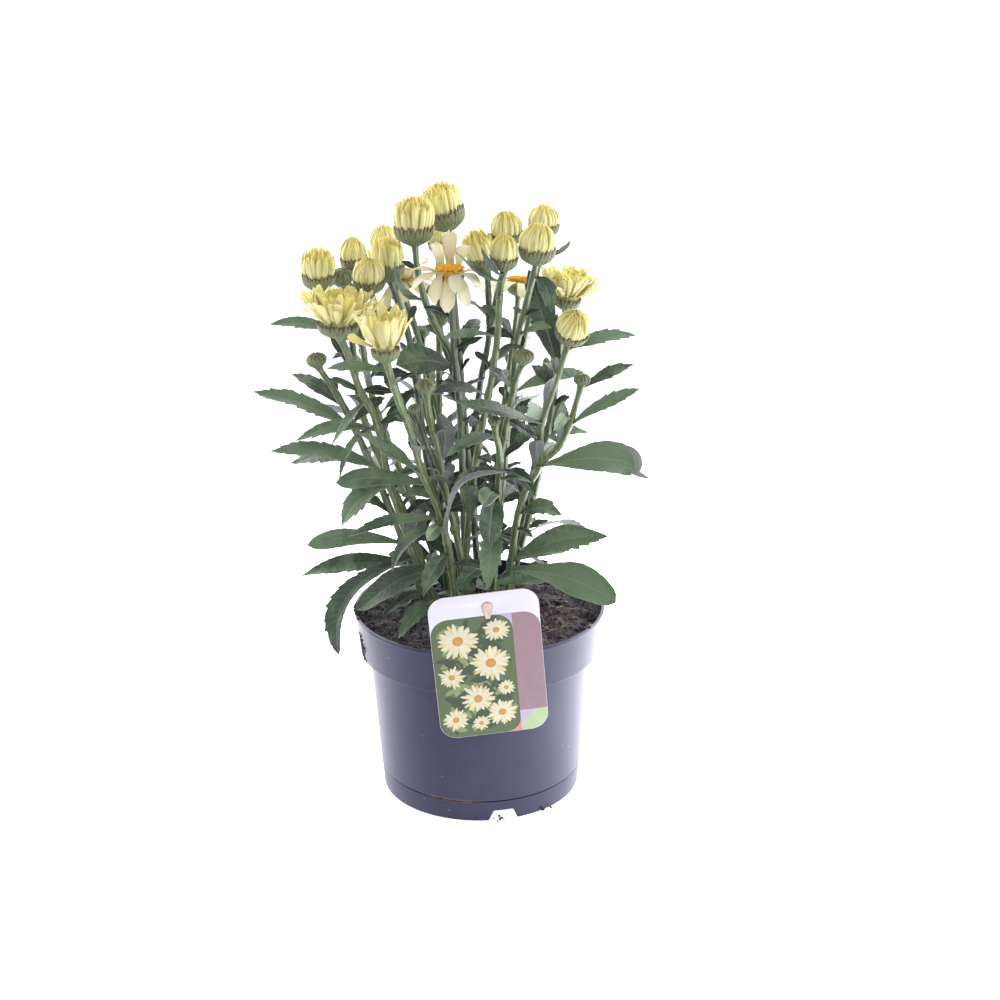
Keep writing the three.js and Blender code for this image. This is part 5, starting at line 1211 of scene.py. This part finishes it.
def leaf_surface(name, flesh_colours, vein, vein_level, **more):
    leaf = new_finish(name)
    across, run = leaf.marks()
    across = leaf.math("ABSOLUTE", across)
    # Side veins leave the midrib every 5 mm and run forward to the edge
    phase = leaf.math("MULTIPLY_ADD", run, 20.0, leaf.noise(70, 2))
    phase = leaf.math("PINGPONG", leaf.math("MULTIPLY_ADD", across, -1.6, phase), 0.5)
    side_vein = leaf.span(phase, 0.0, 0.14, 0.22 * vein_level, 0)
    # The midrib is broad and pale where the leaf begins and sinks away towards the tip
    midrib = leaf.math("MULTIPLY", leaf.span(run, 0.0, 0.5, 0.95 * vein_level, 0.45 * vein_level),
                       leaf.span(across, 0.03, 0.09, 1, 0))
    veins = leaf.math("MAXIMUM", side_vein, midrib)
    # Painted rim light: the outermost edge goes paler, as the light from behind catches its fine hairs
    lines = leaf.math("MAXIMUM", veins, leaf.span(across, 0.93, 1.0, 0, 0.5))
    cloud = leaf.noise(38, 5, 0.6)
    # The tone holds each leaf's painted light and shade, set by where the leaf lies, and the cloud adds a
    # mottle
    level = leaf.math("MULTIPLY_ADD", leaf.tone(), 0.6, cloud)
    flesh = leaf.ramp(level, (0.35, 0.6, 0.85, 1.0), flesh_colours)
    grain = leaf.add("TexVoronoi", {"Vector": leaf.place(), "Scale": 900}).outputs["Distance"]
    quilt = leaf.math("MULTIPLY_ADD", veins, -1.4, grain)
    puckers = leaf.math("MULTIPLY_ADD", cloud, 3.0, quilt)
    return leaf.finish(Base_Color=leaf.mix(lines, flesh, vein), IOR=1.45,
                       Normal=leaf.bump(puckers, 0.5, 0.0006), **more)


def waxy_leaf():
    """The upper side: waxy and a little glossy, dark blue-green, with faint sunken veins."""
    return leaf_surface("waxy_leaf", ("#1a2021", "#2c3833", "#40543f", "#677d5f"), "#8fa877", 0.5,
                        Roughness=0.42)


def downy_leaf():
    """The underside: fine down makes it dull and silver-grey, with raised veins."""
    return leaf_surface("downy_leaf", ("#3f4847", "#515a53", "#666e65", "#767d74"), "#8b8f87", 0.8,
                        Roughness=0.72, Sheen_Weight=0.2)


# Cups: each head stands in a round cup of narrow green bracts, in rows like tiles, with a frayed
# brown-purple fringe at the brim. A green bud is such a cup that still closes over its top.
CUP_BRIM = {"bud": 0.98, "brush": 0.98, "half": 1.0, "daisy": 0.8}
BRACT_BODY, FORM_SEED = 0.5, 5
# The rows of bracts: where they begin and end up the cup, how far they stand out, how many there are
BRACT_ROWS = ((-0.14, 0.3, 0.45, 0.75), (-0.02, 0.52, 0.36, 0.9), (0.14, 0.78, 0.26, 1), (0.36, 1.1, 0.12, 1))
CLOSED_ROWS = ((-0.14, 0.3, 0.45, 0.8), (0.0, 0.55, 0.36, 1), (0.2, 0.85, 0.24, 1), (0.45, 1.04, 0.12, 0.8))


def cup_radius(head, height):
    if head["kind"] == "green":
        return head["radius"] * np.interp(height / head["cup"], (-0.15, 0, 0.2, 0.5, 0.75, 0.92, 1.06),
                                          (0.22, 0.5, 0.84, 1.0, 0.9, 0.62, 0.1))
    brim = head["radius"] * CUP_BRIM[head["kind"]]
    return brim * np.interp(height / head["cup"], (-0.2, -0.06, 0.08, 0.26, 0.5, 0.8, 1.0, 1.2),
                            (0.2, 0.4, 0.63, 0.83, 0.95, 1.0, 0.99, 0.96))


def upright_frames(head, heights, radii, turns):
    """Middle points of a scale or petal that stands on a head, and unit vectors across and out of it."""
    at = head_at(head, heights, radii, turns)
    out = unit(head_at(head, 0, 1, turns) - head["base"])
    along = unit(np.gradient(at, axis=0))
    side = unit(np.cross(out, along))
    return at, side, np.cross(along, side)


def put_core(skin, head, heights, radii, sides, tone, finish):
    """A plain closed body round a head's axis, behind what stands on it."""
    put_tube(skin, head_at(head, heights), radii, sides, tone=tone, finish=finish)


def put_bract(skin, head, low, high, turn, half, proud, tone, flare):
    shares = np.array([0, 0.3, 0.6, 0.85, 1])
    heights = low + (high - low) * shares
    radii = cup_radius(head, heights) + proud + flare * shares**3
    at, side, face = upright_frames(head, heights, radii, np.full(5, turn))
    half = (half * np.clip(radii / head["radius"], 0.25, 1) * np.array([0.85, 1, 0.92, 0.55, 0.1]))[:, None]
    c = np.array([-1, -0.4, 0.4, 1])[None, :]
    hug = -(half * c) ** 2 / (2 * np.maximum(radii, 2))[:, None]
    top = spread(at, side, face, half * c, hug + 0.5 * (1 - c**2))
    put_sheet(skin, top, top - face[:, None] * BRACT_BODY, c, (heights / head["cup"])[:, None], tone,
              BRACT if head["kind"] != "green" else BUD_BRACT)


def put_cup(skin, head, rng):
    cup, green = head["cup"], head["kind"] == "green"
    heights = cup * np.array([-0.15, 0, 0.2, 0.45, 0.7, 0.9] + [1.0] * green)
    put_core(skin, head, heights, cup_radius(head, heights) * 0.96, 24, 0.3, BRACT)
    count = max(12, round(head["radius"] * 2.1))
    for row, (low, high, proud, crowd) in enumerate(CLOSED_ROWS if green else BRACT_ROWS):
        number = round(count * crowd)
        for k in range(number):
            turn = (k + 0.5 * (row % 2) + rng.uniform(-0.15, 0.15)) * 2 * math.pi / number
            top = cup * (high + rng.uniform(-0.16, 0.1))
            flare = 0 if green or row < 3 else rng.uniform(-0.2, 0.7)
            put_bract(skin, head, cup * low, top, turn, math.pi * head["radius"] / number * 1.08, proud,
                      rng.uniform(0, 1), flare)


def bract_scales(name, heights, colours):
    """Bract scales: dull and finely downy, paler down the middle, with painted shade that darkens their sides
    where they overlap.
    """
    scale = new_finish(name)
    across, run = scale.marks()
    fuzz = scale.noise(900, 4)
    uneven = scale.math("MULTIPLY_ADD", scale.tone(), 0.12, scale.math("MULTIPLY", run, 0.7))
    body = scale.ramp(scale.math("MULTIPLY_ADD", fuzz, 0.4, uneven), heights, colours)
    # Painted shade: each scale's sides go towards dark green, for the shade where the scales overlap
    painted_overlap_shade = scale.span(scale.math("ABSOLUTE", across), 0.4, 0.95, 0, 0.6)
    return scale.finish(Base_Color=scale.mix(painted_overlap_shade, body, "#3a4530"), Roughness=0.7, Sheen_Weight=0.06,
                        Normal=scale.bump(fuzz, 0.6, 0.0004))


def cup_bracts():
    """The marks run up to 1 at the brim: grey-green, and brown-purple in the frayed fringe."""
    return bract_scales("cup_bracts", (0.2, 0.55, 0.86, 1.0), ("#55693c", "#6e7a54", "#7c7658", "#7d7054"))


def bud_bracts():
    """Young bracts: grey-green to the top, with a small reddish brown and straw middle."""
    return bract_scales("bud_bracts", (0.2, 0.8, 0.93, 1.0), ("#586b48", "#717c5a", "#806c50", "#8f7a4c"))


green_finishes = [herb_stem(), waxy_leaf(), downy_leaf(), cup_bracts(), bud_bracts()]
rng = random.Random(FORM_SEED)
for stem in STEMS:
    skin = Skin()
    for branch in (b for b in SHOOTS if b["stem"] == stem):
        put_stem(skin, branch, rng)
        put_cup(skin, branch["head"], rng)
        for leaf in branch["blades"]:
            put_leaf(skin, leaf, rng)
    name = "stem_%s_leafy" % stem
    finish_piece(skin.make(name, green_finishes, 42), name, "stem_" + stem)

# Flowers: cream ray petals, standing in rows inside each other. In a bud they close over the top, in
# a brush they stand straight with ragged tips, in a half-open head the outer ones have begun to fall.
BARREL_HEIGHTS = (-0.3, 0, 0.25, 0.5, 0.75, 0.9, 1.0, 1.2)
BARRELS = {"bud": (0.85, 0.97, 1.02, 0.95, 0.74, 0.54, 0.4, 0.3),
           "brush": (0.85, 0.97, 1.04, 1.03, 0.95, 0.85, 0.77, 0.64),
           "half": (0.85, 0.9, 0.86, 0.9, 0.96, 0.94, 0.92, 0.9)}
# Rows of standing petals: how far out, how high, how much they lean in, and how many stand in them
WHORLS = {"bud": ((1.0, 0.9, 0, 1.0), (0.92, 0.98, 0.02, 0.8), (0.7, 1.04, 0.08, 0.6),
                  (0.42, 1.06, 0.2, 0.4)),
          "brush": ((1.0, 0.86, -0.02, 1.0), (0.9, 0.96, 0.02, 0.9), (0.74, 1.04, 0.05, 0.7),
                    (0.52, 1.1, 0.06, 0.5), (0.27, 1.12, 0.05, 0.3)),
          "half": ((0.8, 0.8, 0.02, 0.7), (0.6, 0.78, 0.1, 0.5), (0.36, 0.7, 0.15, 0.3))}
# How much the petals vary in reach and in lean, in a brush and in the other heads
RAGGED, EVEN = (-0.16, 0.08, -0.14, 0.12), (-0.1, 0.08, -0.1, 0.1)
# The rows of a half-open head: how many petals, their slopes in degrees, and their length and place
HALF_OPEN_ROWS = ((16, 30, 56, 0.98, 0.84), (18, 48, 70, 0.9, 0.72), (17, 62, 82, 0.82, 0.58),
                  (15, 72, 92, 0.74, 0.44), (11, 80, 100, 0.66, 0.28))
# Petals of the foremost rows that hang over their neighbours: turn, slope and length
LOOSE_RAYS = {"petals_pale_1": ((-60, 56, 21), (-97, 60, 20), (-134, 50, 23), (-20, 50, 21))}
# The petal that turns its face to the side, and by how much
TURNED_PETAL, PETAL_TURN = 9, 1.1
STANDING_BODY, RAY_BODY = 0.32, 0.35
YOUNG, CORE, OPEN, HALF_OPEN, INNER = range(5)


def put_standing_petal(skin, head, turn, share_out, top, half_turn, tone, lean_in, swirl, rows):
    """One petal of the barrel. share_out is how far from the axis it stands, as a share of the barrel."""
    shares = np.linspace(0, 1, rows)
    heights = -3.5 + (top * head["height"] + 3.5) * shares
    profile = np.interp(heights / head["height"], BARREL_HEIGHTS, BARRELS[head["kind"]])
    radii = np.maximum(head["radius"] * profile * share_out * (1 - lean_in * shares**2), 0.3)
    at, side, face = upright_frames(head, head["cup"] + GAP + heights, radii, turn + swirl * shares**2)
    taper = np.interp(shares, (0, 0.3, 0.7, 0.88, 0.96, 1), (0.8, 1, 1.0, 0.8, 0.5, 0.12))
    half = (np.maximum(radii, 0.3 * head["radius"] * share_out) * half_turn * taper)[:, None]
    c = np.array([-1, -0.55, 0, 0.55, 1])[None, :]
    front = spread(at, side, face, half * c, -0.62 * half * c**2)
    put_sheet(skin, front, front - face[:, None] * STANDING_BODY, c, shares[:, None], tone, YOUNG)


def put_barrel(skin, head, rng):
    kind, radius = head["kind"], head["radius"]
    heights = head["height"] * np.array([-0.1, 0.2, 0.5, 0.62 if kind != "bud" else 0.78])
    put_core(skin, head, head["cup"] + GAP + heights,
             radius * (0.62 if kind == "half" else 0.84) * np.array([1, 1, 0.93, 0.55]), 20, 0.2, CORE)
    count = max(18, round(radius * (2.5 if kind == "bud" else 2.0)))
    swirl = rng.uniform(0.1, 0.4) if kind == "bud" else 0
    shorter, longer, outward, inward = RAGGED if kind == "brush" else EVEN
    for whorl, (share_out, top, lean_in, crowd) in enumerate(WHORLS[kind]):
        number = max(6, round(count * crowd))
        for k in range(number):
            turn = (k + 0.5 * whorl + rng.uniform(-0.25, 0.25)) * 2 * math.pi / number
            reach, lean = top + rng.uniform(shorter, longer), lean_in + rng.uniform(outward, inward)
            out = share_out + (0.03 if k % 2 else -0.03) + rng.uniform(-0.02, 0.02)
            put_standing_petal(skin, head, turn, out, reach, math.pi / number * rng.uniform(1.05, 1.4),
                               rng.uniform(0, 1), lean, swirl + rng.uniform(-0.2, 0.2), 8 if whorl < 2 else 6)


def put_open_petal(skin, spec, rng, finish=OPEN):
    shares = np.linspace(0, 1, 11)
    at, along, side, face = blade_frames(spec, shares)
    s = shares[:, None]
    if spec.get("turned"):
        to_front = -np.sign(side[:, 1:2]) * np.sin(PETAL_TURN * s)
        side, face = (unit(side * np.cos(PETAL_TURN * s) - face * to_front),
                      unit(face * np.cos(PETAL_TURN * s) + side * to_front))
    half = spec["width"] / 2 * np.interp(s, (0, 0.15, 0.4, 0.7, 0.9, 1), (0.34, 0.5, 0.86, 1.02, 0.92, 0.55))
    c = np.array([-1, -0.72, -0.38, 0, 0.38, 0.72, 1])[None, :]
    wave = rng.uniform(0.3, 0.9) * np.sin(s * rng.uniform(4, 9) + c * 1.5 + rng.uniform(0, 6)) * np.abs(c)
    lift = spec["fold"] * np.abs(c) * half + 0.26 * np.cos(c * 3.95 * math.pi / 1.5) + wave
    curl = rng.uniform(*spec.get("curl", (-0.18, 0.06)))
    length = float(np.linalg.norm(spec["tip"] - spec["root"]))
    lift = lift + curl * length * np.clip((s - 0.45) / 0.55, 0, 1) ** 2
    sway = rng.uniform(-0.07, 0.07) * length * s**2
    lobes = (-3.0, -1.0, rng.uniform(-0.4, 0.4), rng.uniform(-2.2, -0.5), rng.uniform(-0.5, 0.4), -1.0, -3.0)
    fade = np.clip((s - 0.8) / 0.2, 0, 1) * spec["width"] / 9
    top = spread(at, side, face, half * c + sway, lift) + along[:, None] * (np.array(lobes) * fade)[..., None]
    put_sheet(skin, top, top - face[:, None] * RAY_BODY, c, s, rng.random(), finish)


def put_half_open_rows(skin, head, rng):
    """The inner rows. A head whose outer petals are given one by one has only its upright ones."""
    whole = "reach" in head
    for count, low, high, length, out in HALF_OPEN_ROWS[0 if whole else 1 :]:
        count = round(count * (1 if whole else 0.7))
        for k in range(count):
            turn = (k + rng.uniform(-0.35, 0.35)) * 2 * math.pi / count
            reach = head.get("reach", 27) * length * rng.uniform(0.82, 1.04)
            narrow = {**head, "petal": head["petal"] * rng.uniform(0.5, 0.72)}
            steep = rng.uniform(low, high) + (0 if whole else 8)
            spec = petal_spec(narrow, head["radius"] * out, turn, steep, reach)
            put_open_petal(skin, {**spec, "fold": 0.5, "curl": (-0.12, 0.14)}, rng,
                           HALF_OPEN if out > 0.6 else INNER)


def cream_petal(name, places, colours, between_petals_shade):
    """Petal skin: matt and thin, cream, with fine ridges along it and a clearer yellow at its tip. Its sides
    take painted shade, for the gaps between petals.
    """
    petal = new_finish(name)
    across, run = petal.marks()
    tone = petal.tone()
    apart = petal.add("CombineXYZ", {0: across, 1: run, 2: petal.math("MULTIPLY", tone, 40.0)}).outputs[0]
    streak = petal.noise(1.6, 3, at=petal.add("Mapping", {"Vector": apart, "Scale": (5, 0.7, 1)}).outputs[0])
    body = petal.ramp(petal.math("MULTIPLY_ADD", streak, 0.25, run), places, colours)
    # Painted shade: towards its sides a petal goes to the darker shade colour, where the gaps between petals
    # lie
    edge = petal.span(petal.math("ABSOLUTE", across), 0.55, 1.0, 0, 0.75)
    colour = petal.mix(1.0, petal.mix(edge, body, between_petals_shade), petal.span(tone, 0, 1, 0.88, 1.0), "MULTIPLY")
    return petal.finish(Base_Color=colour, Normal=petal.bump(streak, 0.5, 0.0006), Roughness=0.6,
                        Subsurface_Weight=0.4, Subsurface_Radius=(1.0, 0.9, 0.5), Subsurface_Scale=0.0015)


FULL_GROWN = (0.15, 0.5, 1.05)
# The last colour of each finish is the painted shade of the gaps between petals
petal_finishes = [
    cream_petal("young_petal", (0.12, 0.34, 0.9, 1.1), ("#bcbd86", "#e3dc9a", "#ebe297", "#eddb80"),
                "#d6ca7c"),
    cream_petal("petal_base", FULL_GROWN, ("#b3b47a", "#c9c37a", "#d6ca6c"), "#bfb468"),
    cream_petal("open_petal", FULL_GROWN, ("#b9b189", "#d3cbaa", "#dad4b9"), "#c3ba96"),
    cream_petal("half_open_petal", FULL_GROWN, ("#d0c887", "#e3d899", "#e9df9f"), "#dbd08f"),
    cream_petal("inner_petal", FULL_GROWN, ("#d0c578", "#e5da88", "#ecdf84"), "#d8ca76")]
for branch in SHOOTS:
    head = branch["head"]
    kind, name = head["kind"], "petals_%s_%d" % (branch["stem"], branch["number"])
    if kind == "green":
        continue
    skin = Skin()
    if kind == "daisy":
        put_core(skin, head, head["cup"] + GAP + np.array([-1.5, 0.5, 2.6]),
                 head["radius"] * np.array([0.76, 0.84, 0.9]), 24, 0.2, CORE)
    else:
        put_barrel(skin, head, rng)
    for k, spec in enumerate(head["specs"]):
        turned = k == TURNED_PETAL and kind == "half"
        put_open_petal(skin, {**spec, "turned": turned}, rng, OPEN if kind == "daisy" else HALF_OPEN)
    if kind == "half":
        put_half_open_rows(skin, head, rng)
    for turn, slope, length in LOOSE_RAYS.get(name, ()):
        put_open_petal(skin, petal_spec({**head, "kind": "daisy", "petal": 9}, head["radius"] * 0.84,
                                        math.radians(turn), slope, length), rng)
    finish_piece(skin.make(name + "_rays", petal_finishes, 50), name + "_rays", name)

# Discs: the middle of an open flower, a dome of tiny golden tubular florets set in crossing spirals.
# On the flower at the top left the petals part at the front, and florets run down in a tongue there.
FLORETS, GOLDEN_ANGLE = 150, 2.39996
TONGUE_STEM, TONGUE_FLORETS, TONGUE_TURN = "top_left", 110, math.radians(-88)


def put_floret(skin, head, height, radius, turn, size, tone):
    at = head_at(head, height, radius, turn)
    route = at + unit(at - head_at(head, height - 8)) * np.array([-0.6, 0.5, 1.0])[:, None] * size
    put_tube(skin, route, size * np.array([0.42, 0.62, 0.3]), 6, tone=tone)


def golden_floret():
    """Ripe disc florets: matt and powdery, golden orange, deeper in the gaps and in the middle."""
    gold = new_finish("golden_floret")
    colour = gold.ramp(gold.tone(), (0.0, 0.45, 1.0), ("#c07d16", "#e2a826", "#f2cb52"))
    return gold.finish(Base_Color=colour, Roughness=0.75)


golden = golden_floret()
for branch in (b for b in SHOOTS if b["head"]["kind"] == "daisy"):
    skin, head = Skin(), branch["head"]
    foot, radius = head["cup"] + 3.3, head["radius"] * 0.84
    put_core(skin, head, foot + np.array([0, 1.6, 2.8, 3.1]), radius * np.array([0.92, 0.95, 0.6, 0.3]), 32,
             0.3, 0)
    for k in range(FLORETS):
        share = math.sqrt((k + 0.5) / FLORETS)
        height = foot + 3.1 - 1.9 * share**3 - 0.5 * math.exp(-((share / 0.25) ** 2))
        put_floret(skin, head, height, radius * share, k * GOLDEN_ANGLE, 0.62 + 0.25 * share,
                   rng.uniform(0.3, 1) * (0.55 + 0.45 * share))
    for _ in range(TONGUE_FLORETS if branch["stem"] == TONGUE_STEM else 0):
        drop, aside = rng.uniform(0, 1) ** 1.3, rng.uniform(-1, 1)
        turn = TONGUE_TURN + aside * 0.55 * (1 - 0.75 * drop)
        put_floret(skin, head, foot + 1.4 - 9.5 * drop, radius * (1.02 + 0.42 * drop), turn, 0.8,
                   rng.uniform(0.2, 0.9))
    name = "disc_%s_%d" % (branch["stem"], branch["number"])
    finish_piece(skin.make(name + "_florets", [golden], 40), name + "_florets", name)
